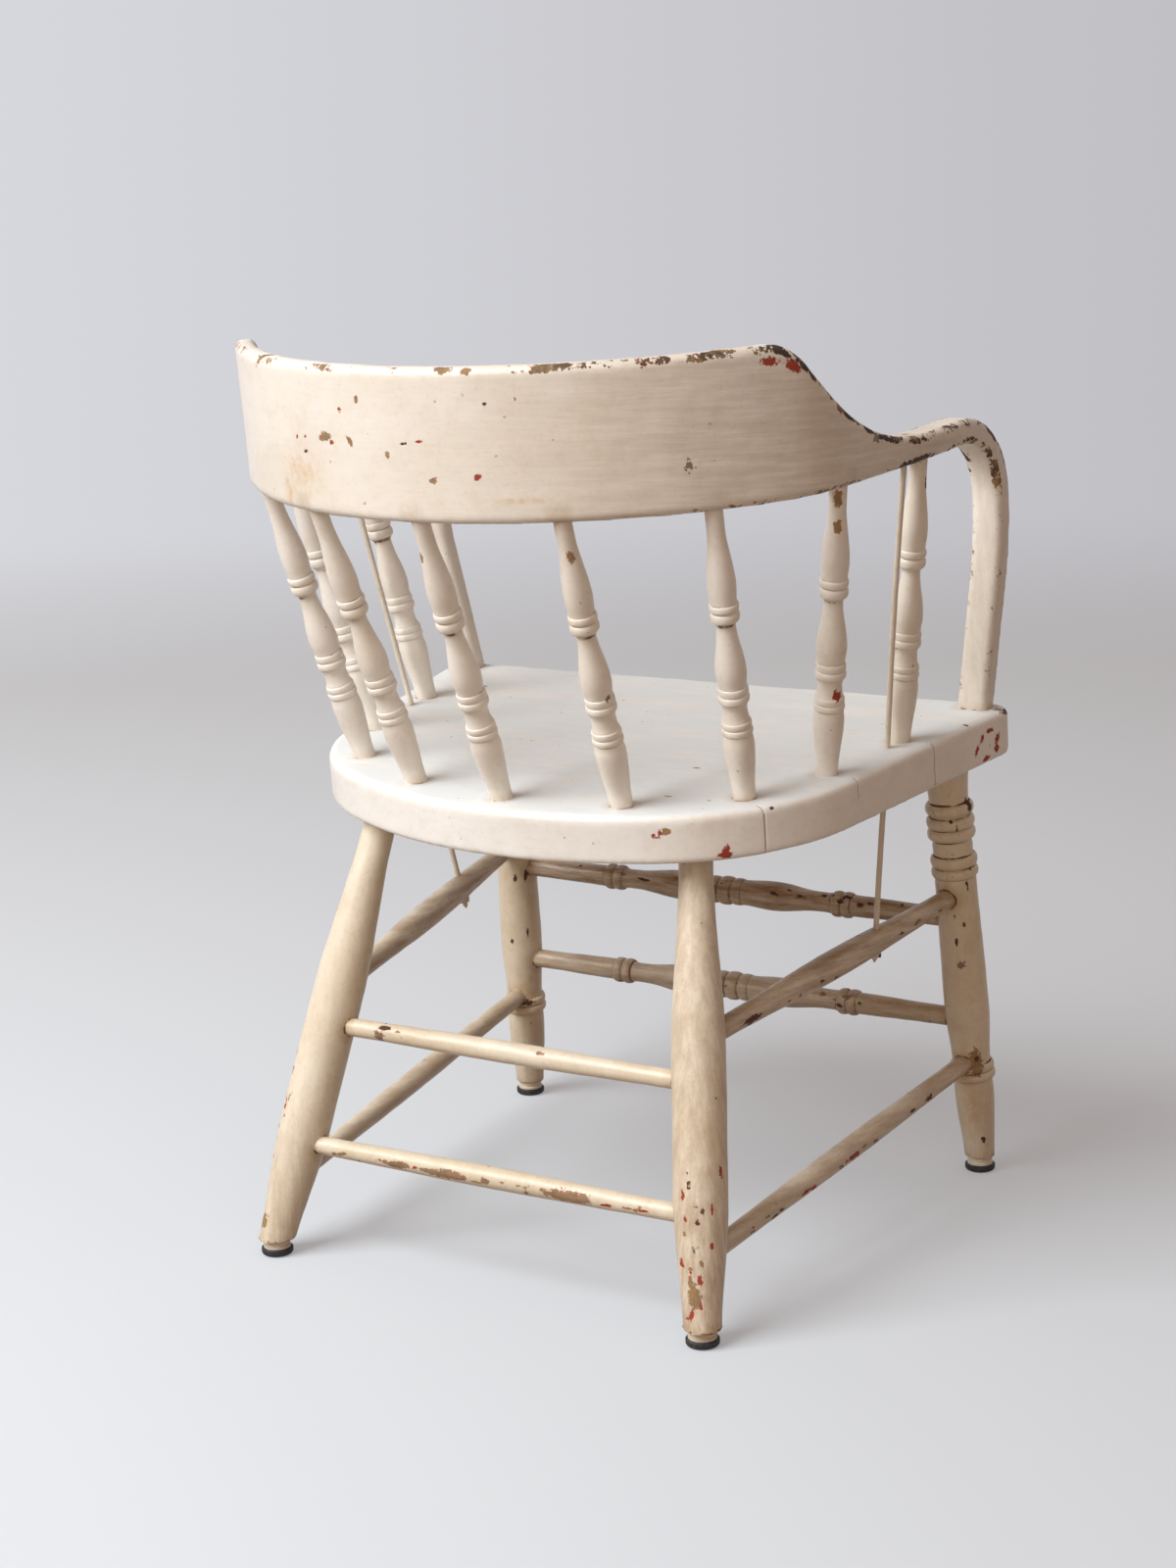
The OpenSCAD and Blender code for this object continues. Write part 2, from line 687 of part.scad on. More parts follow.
module leg_front_right() { leg(true, -1); }
module leg_front_left() { leg(true, 1); }
module leg_rear_right() { leg(false, -1); }
module leg_rear_left() { leg(false, 1); }

// ---- Stretchers ------------------------------------------------------------

// A plain stretcher that swells gently towards the middle
module plain_stretcher(p, q, d) {
  span = norm(q - p);
  grip = rear_leg_d / 2 + 6;
  color("antiquewhite")
    aim(p, q)
      turned(concat(
        [[tenon_stop, d[0] / 2]],
        eased([grip, d[0] / 2], [span * 0.5, d[1] / 2], 8),
        eased([span * 0.5, d[1] / 2], [span - grip, d[0] / 2], 8),
        [[span - grip, d[0] / 2], [span - tenon_stop, d[0] / 2]]));
}

// Half of a turned front stretcher, from the leg at z = 0 to the middle at z = m
function front_half(m) =
  let (end = front_stretcher_d[0] / 2, r = front_stretcher_d[1] / 2,
       b = m - front_bead_at)
  concat(
    [[tenon_stop, end]],
    eased([30, end], [b - 12, end + 1.5], 4),
    bead(b - 6, 5, end + 1.5, r - 1.5),
    bead(b + 4, 5, end + 1.5, r - 1.5),
    eased([b + 10, end + 0.5], [b + 22, end + 0.5], 1),
    eased([b + 22, end + 0.5], [m - 50, r], 7),
    eased([m - 50, r], [m - 19, end + 3], 4)
  );

// The mirror of an outline about z = m
function flipped(outline, m) =
  [for (i = [len(outline) - 1 : -1 : 0]) [2 * m - outline[i][0], outline[i][1]]];

module front_stretcher(level) {
  p = leg_at(true, -1, front_stretcher_z[level]);
  q = leg_at(true, 1, front_stretcher_z[level]);
  m = norm(q - p) / 2;
  half = front_half(m);
  groove = front_stretcher_d[0] / 2 + 3;
  crest = front_stretcher_d[1] / 2;
  color("antiquewhite")
    aim(p, q)
      turned(concat(half,
        bead(m - 13, 5.5, groove, crest - 0.8),
        bead(m - 0, 6.5, groove, crest),
        bead(m + 13, 5.5, groove, crest - 0.8),
        flipped(half, m)));
}

// An upper side stretcher, bored for the tie rod and cut flat for its nut
module upper_side_stretcher(side) {
  p = leg_at(true, side, side_upper_z[1]);
  q = leg_at(false, side, side_upper_z[0]);
  difference() {
    plain_stretcher(p, q, side_upper_d);
    aim(rod_low(side), rod_low(side) + rod_dir(side)) {
      translate([0, 0, -side_upper_d[1]])
        cylinder(d = rod_d + rod_gap, h = 2 * side_upper_d[1]);
      translate([0, 0, nut_seat])
        cylinder(d = 1.5 * nut_width, h = side_upper_d[1]);
    }
  }
}

module stretcher_front_lower() { front_stretcher(0); }
module stretcher_front_upper() { front_stretcher(1); }

module stretcher_rear_lower() {
  plain_stretcher(leg_at(false, -1, rear_stretcher_z[0]),
                  leg_at(false, 1, rear_stretcher_z[0]), rear_stretcher_d);
}

module stretcher_rear_upper() {
  plain_stretcher(leg_at(false, -1, rear_stretcher_z[1]),
                  leg_at(false, 1, rear_stretcher_z[1]), rear_stretcher_d);
}

module lower_side_stretcher(side) {
  plain_stretcher(leg_at(true, side, side_lower_z[1]),
                  leg_at(false, side, side_lower_z[0]), side_lower_d);
}

module stretcher_right_lower() { lower_side_stretcher(-1); }
module stretcher_left_lower() { lower_side_stretcher(1); }
module stretcher_right_upper() { upper_side_stretcher(-1); }
module stretcher_left_upper() { upper_side_stretcher(1); }

// ---- Tie rods --------------------------------------------------------------

// A rod hangs by its head in the arm and is drawn up by its nut
module tie_rod(side) {
  below = nut_seat + nut_thick + rod_tip;
  color("wheat")
    aim(rod_low(side), rod_arm(side))
      turned([
        [-below, rod_d / 6], [-below + rod_d / 2, rod_d / 2],
        [rod_span + rod_arm_rise - rod_d / 2, rod_d / 2],
        [rod_span + rod_arm_rise - rod_d / 2, rod_head_d / 2],
        [rod_span + rod_arm_rise - rod_d / 4, rod_head_d / 2],
        [rod_span + rod_arm_rise, rod_head_d / 4]
      ]);
}

module tie_nut(side) {
  color("wheat")
    aim(rod_low(side), rod_low(side) + rod_dir(side))
      translate([0, 0, nut_seat])
        difference() {
          translate([-nut_width / 2, -nut_width / 2, 0])
            cube([nut_width, nut_width, nut_thick]);
          translate([0, 0, -eps])
            cylinder(d = rod_d + glue_gap, h = nut_thick + 2 * eps);
        }
}

module tie_rod_right() { tie_rod(-1); }
module tie_rod_left() { tie_rod(1); }
module tie_nut_right() { tie_nut(-1); }
module tie_nut_left() { tie_nut(1); }

// ---- Glides ----------------------------------------------------------------

// A pressed steel collar with its nail, standing in the rubber pad
module glide_collar(front, side) {
  r = collar_d / 2;
  boss = r - 0.7;
  waist = r - 1.8;
  color("oldlace")
    translate(under_foot(front, side))
      turned([
        [pad_floor, r - 1], [pad_floor + 1, r], [glide_h - 5.2, r],
        [glide_h - 4.6, waist], [glide_h - 3.6, waist], [glide_h - 3, boss],
        [glide_h, boss], [glide_h, nail_d / 2],
        [glide_h + nail_length - nail_d, nail_d / 2], [glide_h + nail_length, 0.3]
      ]);
}

module glide_pad(front, side) {
  r = pad_d / 2;
  rim = collar_d / 2 + glue_gap / 2;
  color("dimgray")
    translate(under_foot(front, side))
      rotate_extrude()
        polygon([[0, 0], [r - 3, 0], [r - 1, 1], [r, 3], [r, pad_rim_h - 1],
                 [r - 0.8, pad_rim_h], [rim, pad_rim_h], [rim, pad_floor],
                 [0, pad_floor]]);
}

module glide_collar_front_right() { glide_collar(true, -1); }
module glide_collar_front_left() { glide_collar(true, 1); }
module glide_collar_rear_right() { glide_collar(false, -1); }
module glide_collar_rear_left() { glide_collar(false, 1); }
module glide_pad_front_right() { glide_pad(true, -1); }
module glide_pad_front_left() { glide_pad(true, 1); }
module glide_pad_rear_right() { glide_pad(false, -1); }
module glide_pad_rear_left() { glide_pad(false, 1); }

bow();
seat_board_front();
seat_board_middle_front();
seat_board_middle_rear();
seat_board_rear();
spindle_1();
spindle_2();
spindle_3();
spindle_4();
spindle_5();
spindle_6();
spindle_7();
spindle_8();
spindle_9();
leg_front_right();
leg_front_left();
leg_rear_right();
leg_rear_left();
stretcher_front_lower();
stretcher_front_upper();
stretcher_rear_lower();
stretcher_rear_upper();
stretcher_right_lower();
stretcher_left_lower();
stretcher_right_upper();
stretcher_left_upper();
tie_rod_right();
tie_rod_left();
tie_nut_right();
tie_nut_left();
glide_collar_front_right();
glide_collar_front_left();
glide_collar_rear_right();
glide_collar_rear_left();
glide_pad_front_right();
glide_pad_front_left();
glide_pad_rear_right();
glide_pad_rear_left();
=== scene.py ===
"""A bow-back wooden armchair in old, chipped cream paint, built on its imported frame.

Right and left are the sitter's, the chair faces -Y, and every size is in metres.
"""

import json
import logging
import math
import random
from collections import Counter
from collections.abc import Iterable, Sequence
from dataclasses import dataclass, field
from enum import Enum
from typing import ClassVar

import bpy
import numpy as np
from mathutils import Matrix, Vector
from mathutils.bvhtree import BVHTree

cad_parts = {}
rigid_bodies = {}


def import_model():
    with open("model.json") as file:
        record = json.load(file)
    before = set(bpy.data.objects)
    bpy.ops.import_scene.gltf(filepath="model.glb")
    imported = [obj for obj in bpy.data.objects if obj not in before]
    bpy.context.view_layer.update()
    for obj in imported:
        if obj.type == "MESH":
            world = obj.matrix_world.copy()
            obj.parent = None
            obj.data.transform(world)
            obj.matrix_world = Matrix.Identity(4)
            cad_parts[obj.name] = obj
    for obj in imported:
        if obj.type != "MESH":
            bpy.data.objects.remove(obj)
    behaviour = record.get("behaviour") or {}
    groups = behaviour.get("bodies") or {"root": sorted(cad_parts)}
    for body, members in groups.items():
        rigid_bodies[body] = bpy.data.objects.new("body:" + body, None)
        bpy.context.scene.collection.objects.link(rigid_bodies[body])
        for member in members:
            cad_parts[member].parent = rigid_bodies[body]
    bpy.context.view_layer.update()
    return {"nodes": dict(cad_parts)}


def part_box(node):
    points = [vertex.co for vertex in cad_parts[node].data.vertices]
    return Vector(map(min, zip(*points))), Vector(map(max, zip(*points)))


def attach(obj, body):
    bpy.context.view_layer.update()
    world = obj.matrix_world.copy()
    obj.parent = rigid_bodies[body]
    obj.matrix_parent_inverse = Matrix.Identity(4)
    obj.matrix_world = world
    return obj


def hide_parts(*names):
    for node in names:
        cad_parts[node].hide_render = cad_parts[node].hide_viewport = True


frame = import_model()
LOG = logging.getLogger("armchair")
MM = 0.001
SEAT_FALL = math.radians(5.1)
SEAT_ORIGIN = Vector((0.0, -26.85 * MM, 0.436))

Colour = tuple[float, float, float, float]
Piece = bpy.types.Object
Socket = bpy.types.NodeSocket
Row = tuple[float, float, float]


def colour(code: str) -> Colour:
    """Turns a colour written as RRGGBB on a screen into the linear light that shaders use.

    Args:
        code: Six hexadecimal digits.

    Returns:
        Red, green, blue and a full alpha.
    """
    parts = [int(code[i:i + 2], 16) / 255 for i in (0, 2, 4)]
    linear = [p / 12.92 if p <= 0.04045 else ((p + 0.055) / 1.055) ** 2.4 for p in parts]
    return (linear[0], linear[1], linear[2], 1.0)


def from_seat(x: float, y: float, z: float) -> Vector:
    """Turns a place in the sloping seat's own frame into a place in the chair's frame."""
    turn = Matrix.Rotation(-SEAT_FALL, 3, "X")
    return SEAT_ORIGIN + turn @ Vector((x, y, z))


SEAT_BACKWARDS = from_seat(0, 1, 0) - from_seat(0, 0, 0)
SEAT_UP = from_seat(0, 0, 1) - from_seat(0, 0, 0)


def ramp(values: np.ndarray, start: float, end: float) -> np.ndarray:
    """Rises from 0 to 1 between a start and an end."""
    return np.clip((values - start) / (end - start), 0, 1)


def across_and_up(out: Vector) -> tuple[Vector, Vector]:
    """Two ways along a surface that faces out: level across it, and up it."""
    level = Vector((0, 0, 1)) if abs(out.z) < 0.8 else Vector((0, 1, 0))
    across = level.cross(out).normalized()
    return across, out.cross(across)


# ---- The bench ---------------------------------------------------------------


class Bench:
    """The hand tools that every maker of pieces uses."""

    @staticmethod
    def clear() -> None:
        """Leaves edit mode and deselects everything."""
        if bpy.context.mode != "OBJECT":
            bpy.ops.object.mode_set(mode="OBJECT")
        bpy.ops.object.select_all(action="DESELECT")

    @classmethod
    def take(cls, piece: Piece) -> Piece:
        """Selects one piece alone and makes it the active one."""
        cls.clear()
        piece.select_set(True)
        bpy.context.view_layer.objects.active = piece
        return piece

    @classmethod
    def edit(cls, piece: Piece, mode: str = "VERT") -> None:
        """Opens a piece in edit mode with everything on it selected."""
        cls.take(piece)
        bpy.ops.object.mode_set(mode="EDIT")
        bpy.ops.mesh.select_mode(type=mode)
        bpy.ops.mesh.select_all(action="SELECT")

    @classmethod
    def added(cls, name: str) -> Piece:
        """Names the primitive that has just been added and opens it for editing."""
        piece = bpy.context.active_object
        piece.name = name
        piece.data.name = name
        cls.edit(piece)
        return piece

    @classmethod
    def close_up(cls, piece: Piece, threshold: float = 1e-6) -> None:
        """Merges doubles, turns every face outwards and leaves edit mode."""
        cls.edit(piece)
        bpy.ops.mesh.remove_doubles(threshold=threshold)
        bpy.ops.mesh.normals_make_consistent(inside=False)
        cls.clear()

    @classmethod
    def finish_with(cls, piece: Piece, kind: str, **settings: object) -> None:
        """Adds one modifier to a piece, sets it and applies it.

        Args:
            piece: The piece to work on.
            kind: The modifier's type.
            **settings: Values of the modifier, by name.
        """
        cls.take(piece)
        modifier = piece.modifiers.new(kind.lower(), kind)
        for key, value in settings.items():
            setattr(modifier, key, value)
        bpy.ops.object.modifier_apply(modifier=modifier.name)

    @classmethod
    def place(cls, piece: Piece, matrix: Matrix) -> None:
        """Moves a piece to its place and leaves the place in its mesh."""
        piece.matrix_world = matrix
        cls.take(piece)
        bpy.ops.object.transform_apply(location=True, rotation=True, scale=True)

    @classmethod
    def copy(cls, piece: Piece, name: str) -> Piece:
        """Copies a piece with a mesh of its own and links the copy."""
        twin = bpy.data.objects.new(name, piece.data.copy())
        twin.data.name = name
        bpy.context.scene.collection.objects.link(twin)
        return twin

    @classmethod
    def select_faces(cls, piece: Piece, chosen: Iterable[int]) -> None:
        """Selects faces by number, from object mode, and opens the piece for editing."""
        cls.edit(piece, "FACE")
        bpy.ops.mesh.select_all(action="DESELECT")
        bpy.ops.object.mode_set(mode="OBJECT")
        for number in chosen:
            piece.data.polygons[number].select = True
        bpy.ops.object.mode_set(mode="EDIT")

    @staticmethod
    def surface(piece: Piece) -> BVHTree:
        """Makes a piece's faces ready for casting and measuring."""
        mesh = piece.data
        return BVHTree.FromPolygons([v.co for v in mesh.vertices],
                                    [tuple(f.vertices) for f in mesh.polygons])

    @classmethod
    def smooth(cls, piece: Piece, angle: float = 60.0) -> None:
        """Shades a piece smooth, except across edges sharper than an angle in degrees."""
        cls.take(piece)
        bpy.ops.object.shade_smooth_by_angle(angle=math.radians(angle))
        cls.clear()

    @classmethod
    def uneven(cls, piece: Piece, height: float, spread: float) -> None:
        """Gives a piece the slight waviness of hand work and thick old paint.

        Args:
            piece: The piece to work on.
            height: From the lowest hollow to the highest swelling.
            spread: Size of one swelling.
        """
        waves = bpy.data.textures.new(f"{piece.name}_waves", "CLOUDS")
        waves.noise_scale = spread
        waves.noise_depth = 2
        cls.finish_with(piece, "DISPLACE", texture=waves, texture_coords="GLOBAL",
                        strength=height, mid_level=0.5)
        bpy.data.textures.remove(waves)


# ---- Turning -------------------------------------------------------------------


class Cut(Enum):
    """How an outline gets from one place to the next."""

    LINE = "line"
    EASE = "ease"
    BEAD = "bead"


LINE, EASE, BEAD = Cut.LINE, Cut.EASE, Cut.BEAD


class Outline:
    """The outline of a turned piece, drawn from one end to the other."""

    def __init__(self, start: float, radius: float) -> None:
        """Starts on the axis and goes out to the first radius."""
        self.points: list[tuple[float, float]] = [(start, 0.0), (start, radius)]

    def line(self, z: float, radius: float, step: float = 4 * MM) -> "Outline":
        """Draws a straight span to a place on the outline."""
        z0, r0 = self.points[-1]
        count = max(1, math.ceil(abs(z - z0) / step))
        for i in range(1, count + 1):
            t = i / count
            self.points.append((z0 + (z - z0) * t, r0 + (radius - r0) * t))
        return self

    def ease(self, z: float, radius: float, step: float = 2.5 * MM) -> "Outline":
        """Draws a span that leaves and arrives level, like the side of a vase."""
        z0, r0 = self.points[-1]
        count = max(2, math.ceil(abs(z - z0) / step))
        for i in range(1, count + 1):
            t = i / count
            blend = (1 - math.cos(math.pi * t)) / 2
            self.points.append((z0 + (z - z0) * t, r0 + (radius - r0) * blend))
        return self

    def bead(self, z: float, half: float, groove: float, crest: float,
             count: int = 8) -> "Outline":
        """Draws a rounded bead with a crisp cut on both sides.

        Args:
            z: Middle of the bead.
            half: Half of its width.
            groove: Radius at the bottom of the cuts.
            crest: Radius at its top.
            count: Spans in the bead.

        Returns:
            The outline itself.
        """
        for i in range(count + 1):
            angle = math.pi * i / count
            rise = math.sin(angle) ** 0.8
            self.points.append((z - half * math.cos(angle),
                                groove + (crest - groove) * rise))
        return self

    def follow(self, rows: Iterable[tuple], at: float = 0.0, out: float = 0.0,
               unit: tuple[float, float] = (MM, MM)) -> "Outline":
        """Draws the cuts that a table lists.

        Args:
            rows: For a line or an ease its kind, height and radius, and perhaps its
                step; for a bead its kind, height, half width, groove and crest.
            at: What the heights are counted from.
            out: What the radii are counted from.
            unit: One unit of height and one of radius.

        Returns:
            The outline itself.
        """
        high, wide = unit
        for cut, z, *rest in rows:
            if cut is BEAD:
                half, groove, crest = rest
                self.bead(at + z * high, half * high, out + groove * wide,
                          out + crest * wide)
            else:
                draw = self.line if cut is LINE else self.ease
                draw(at + z * high, out + rest[0] * wide, *(x * high for x in rest[1:]))
        return self

    def mirrored(self, middle: float) -> "Outline":
        """Carries on with the mirror of what has been drawn, about a middle."""
        self.points += [(2 * middle - z, r) for z, r in reversed(self.points)]
        return self

    def end(self) -> "Outline":
        """Comes back in to the axis."""
        self.points.append((self.points[-1][0], 0.0))
        return self

    def turned(self, name: str, steps: int = 48) -> Piece:
        """Turns the outline once round the Z axis.

        Args:
            name: Name of the new piece.
            steps: Faces round it.

        Returns:
            A closed piece on the Z axis.
        """
        Bench.clear()
        z, r = self.points[0]
        bpy.ops.mesh.primitive_plane_add(size=MM, location=(0, 0, 0))
        piece = Bench.added(name)
        bpy.ops.mesh.merge(type="CENTER")
        bpy.ops.transform.translate(value=(r, 0, z))
        for z2, r2 in self.points[1:]:
            if abs(z2 - z) + abs(r2 - r) < 1e-7:
                continue
            bpy.ops.mesh.extrude_vertices_move(
                TRANSFORM_OT_translate={"value": (r2 - r, 0, z2 - z)})
            z, r = z2, r2
        bpy.ops.mesh.select_all(action="SELECT")
        bpy.ops.mesh.spin(steps=steps, angle=math.tau, center=(0, 0, 0), axis=(0, 0, 1))
        Bench.close_up(piece, 2e-6)
        return piece


@dataclass(frozen=True)
class Axis:
    """The middle line of a turned piece, from its lower or right end."""

    start: Vector
    end: Vector

    @property
    def length(self) -> float:
        """Distance between the two ends."""
        return (self.end - self.start).length

    @property
    def matrix(self) -> Matrix:
        """A frame whose Z runs up the axis, with X kept close to the chair's X."""
        up = (self.end - self.start).normalized()
        side = Vector((1, 0, 0)) if abs(up.x) < 0.8 else Vector((0, 0, 1))
        across = up.cross(side).normalized()
        return Matrix.Translation(self.start) @ Matrix(
            (across.cross(up), across, up)).transposed().to_4x4()

    def point(self, along: float) -> Vector:
        """Point at a distance from the start."""
        return self.start + (self.end - self.start) * (along / self.length)

    @staticmethod
    def corners(node: str) -> np.ndarray:
        """The different corner points of a CAD node."""
        mesh = frame["nodes"][node].data
        flat = np.empty(len(mesh.vertices) * 3, np.float32)
        mesh.vertices.foreach_get("co", flat)
        return np.unique(np.round(flat.reshape(-1, 3).astype(float), 6), axis=0)

    @classmethod
    def of(cls, node: str, level_foot: bool = False) -> "Axis":
        """Finds the axis of a turned CAD node from the round caps at its ends.

        Args:
            node: Name of the CAD node.
            level_foot: Whether its lower end is sawn level and not square.

        Returns:
            The axis, from the lower or right cap to the other.
        """
        points = cls.corners(node)
        way = np.linalg.svd(points - points.mean(0), full_matrices=False)[2][0]
        for reach in (2 * MM, 0.6 * MM, 0.15 * MM):
            run = points @ way
            ends = []
            for tip, sign in ((run.min(), 1), (run.max(), -1)):
                cap = points[(run - tip) * sign < reach]
                ends.append((cap.min(0) + cap.max(0)) / 2)
            if level_foot:
                low = points[points[:, 2] < points[:, 2].min() + 0.05 * MM]
                ends[0 if ends[0][2] < ends[1][2] else 1] = (low.min(0) + low.max(0)) / 2
            way = (ends[1] - ends[0]) / np.linalg.norm(ends[1] - ends[0])
        if (ends[0][2], -ends[0][1]) > (ends[1][2], -ends[1][1]):
            ends.reverse()
        return cls(Vector(ends[0]), Vector(ends[1]))


# ---- Weathering ----------------------------------------------------------------


class Layer(Enum):
    """What a damaged place shows."""

    BARE = "bare"
    PRIMER = "primer"
    DARK = "dark"
    STAIN = "stain"


@dataclass(frozen=True)
class Mark:
    """One chip, scrape or stain: what it shows, where it is, and its size."""

    layer: Layer
    at: Vector
    facing: Vector
    length: float
    width: float
    tilt: float = 0.0


@dataclass
class Weathering:
    """Works out where a piece wears, gathers grime and painted shade, and has lost its paint.

    Attributes:
        reach: How far from a neighbour grime and painted shade still gather.
        groove_rounds: Rounds of smoothing that a groove is measured against.
        groove_depth: Depth at which a groove is full of dirt.
        edge_rounds: Rounds of smoothing that an edge is measured against.
        edge_share: Percentile of the bends at which an edge counts as sharp.
        edge_fall: Power that narrows the worn band along an edge.
        least_edge: Smallest bend that counts as sharp.
        mark_depth: How far a mark goes into the surface, past half of its size.
        least_facing: How squarely a point has to face a mark to carry it.
        trees: The surface of each piece, by name.
        boxes: Its lowest and highest corner.
    """

    reach: float = 12 * MM
    groove_rounds: int = 5
    groove_depth: float = 0.7 * MM
    edge_rounds: int = 7
    edge_share: float = 98.0
    edge_fall: float = 1.6
    least_edge: float = 0.15 * MM
    mark_depth: float = 5 * MM
    least_facing: float = 0.15
    trees: dict[str, BVHTree] = field(default_factory=dict)
    boxes: dict[str, tuple[np.ndarray, np.ndarray]] = field(default_factory=dict)

    @staticmethod
    def points(piece: Piece, what: str = "co") -> np.ndarray:
        """Reads the corner points, or the normals, of a piece."""
        mesh = piece.data
        flat = np.empty(len(mesh.vertices) * 3, np.float32)
        if what == "co":
            mesh.vertices.foreach_get("co", flat)
        else:
            mesh.vertex_normals.foreach_get("vector", flat)
        return flat.reshape(-1, 3).astype(float)

    def remember(self, piece: Piece) -> None:
        """Notes the shape of a piece so that its neighbours gather grime and painted shade
        beside it.
        """
        points = self.points(piece)
        self.trees[piece.name] = Bench.surface(piece)
        self.boxes[piece.name] = (points.min(0), points.max(0))

    @staticmethod
    def write(piece: Piece, name: str, values: np.ndarray) -> None:
        """Stores one value for each corner point."""
        layer = piece.data.attributes.get(name)
        if layer is None:
            layer = piece.data.attributes.new(name, "FLOAT", "POINT")
        layer.data.foreach_set("value", values.astype(np.float32))

    def bend(self, piece: Piece, rounds: int) -> np.ndarray:
        """Measures how far each point stands out of its smoothed surroundings.

        Args:
            piece: The piece to measure.
            rounds: Rounds of smoothing, which set how wide the surroundings are.

        Returns:
            Heights in metres: above zero on an edge, below it in a groove.
        """
        mesh = piece.data
        pairs = np.empty(len(mesh.edges) * 2, np.int32)
        mesh.edges.foreach_get("vertices", pairs)
        a, b = pairs.reshape(-1, 2).T
        start = self.points(piece)
        count = np.bincount(a, minlength=len(start)) + np.bincount(b, minlength=len(start))
        soft = start.copy()
        for _ in range(rounds):
            total = np.zeros_like(soft)
            for k in range(3):
                total[:, k] = (np.bincount(a, soft[b, k], len(soft))
                               + np.bincount(b, soft[a, k], len(soft)))
            soft = 0.4 * soft + 0.6 * total / np.maximum(count, 1)[:, None]
        return np.einsum("ij,ij->i", start - soft, self.points(piece, "normal"))

    def closeness(self, piece: Piece, apart_from: Sequence[str]) -> np.ndarray:
        """Measures how close each point is to another piece.

        Args:
            piece: The piece to measure.
            apart_from: Names of the neighbours that do not count.

        Returns:
            One where they touch, falling to zero at the reach.
        """
        points = self.points(piece)
        near = np.zeros(len(points))
        for name, tree in self.trees.items():
            if name == piece.name or name in apart_from:
                continue
            low, high = self.boxes[name]
            inside = np.all((points > low - self.reach) & (points < high + self.reach), 1)
            for i in np.nonzero(inside)[0]:
                gap = tree.find_nearest(points[i], self.reach)[3]
                if gap is not None:
                    near[i] = max(near[i], 1 - gap / self.reach)
        return near

    def lay(self, piece: Piece, marks: Iterable[Mark]) -> None:
        """Draws each mark as a soft peak, which the finish then cuts to a ragged edge.

        Args:
            piece: The piece that carries the marks.
            marks: The marks on it.
        """
        points, normals = self.points(piece), self.points(piece, "normal")
        fields = {layer: np.zeros(len(points)) for layer in Layer}
        for mark in marks:
            out = mark.facing.normalized()
            along, up = across_and_up(out)
            turn = math.radians(mark.tilt)
            u = along * math.cos(turn) + up * math.sin(turn)
            v = out.cross(u)
            away = points - np.array(mark.at)
            size = max(mark.length, mark.width)
            d = np.sqrt((away @ np.array(u) / (mark.length / 2)) ** 2
                        + (away @ np.array(v) / (mark.width / 2)) ** 2
                        + (away @ np.array(out) / (size / 2 + self.mark_depth)) ** 2)
            peak = np.clip(1 - d / 2, 0, 1) * (normals @ np.array(out) > self.least_facing)
            fields[mark.layer] = np.maximum(fields[mark.layer], peak)
        for layer, values in fields.items():
            self.write(piece, layer.value, values)

    def age(self, piece: Piece, marks: Iterable[Mark], soil_and_shade: np.ndarray,
            wear: np.ndarray, apart_from: Sequence[str] = ()) -> None:
        """Stores everything that a finish reads from a piece.

        Args:
            piece: The piece.
            marks: Its damage.
            soil_and_shade: How much grime and painted shade it carries at each point, from 0 to
                1.
            wear: How hard its edges have been rubbed at each point, from 0 to 1.
            apart_from: Names of the neighbours that it gathers neither grime nor painted shade
                against.
        """
        self.write(piece, "soil_and_shade", soil_and_shade)
        self.write(piece, "wear", wear)
        for name in ("seam", "upright"):
            if name not in piece.data.attributes:
                self.write(piece, name, np.zeros(len(soil_and_shade)))
        bend = self.bend(piece, self.groove_rounds)
        self.write(piece, "groove", np.clip(-bend / self.groove_depth, 0, 1))
        bend = self.bend(piece, self.edge_rounds)
        sharp = max(np.percentile(bend, self.edge_share), self.least_edge)
        self.write(piece, "edge", np.clip(bend / sharp, 0, 1) ** self.edge_fall)
        self.write(piece, "touch", self.closeness(piece, apart_from))
        self.lay(piece, marks)


B, P, D, S = Layer.BARE, Layer.PRIMER, Layer.DARK, Layer.STAIN
Spot = tuple[Layer, float, float, float, float, float]

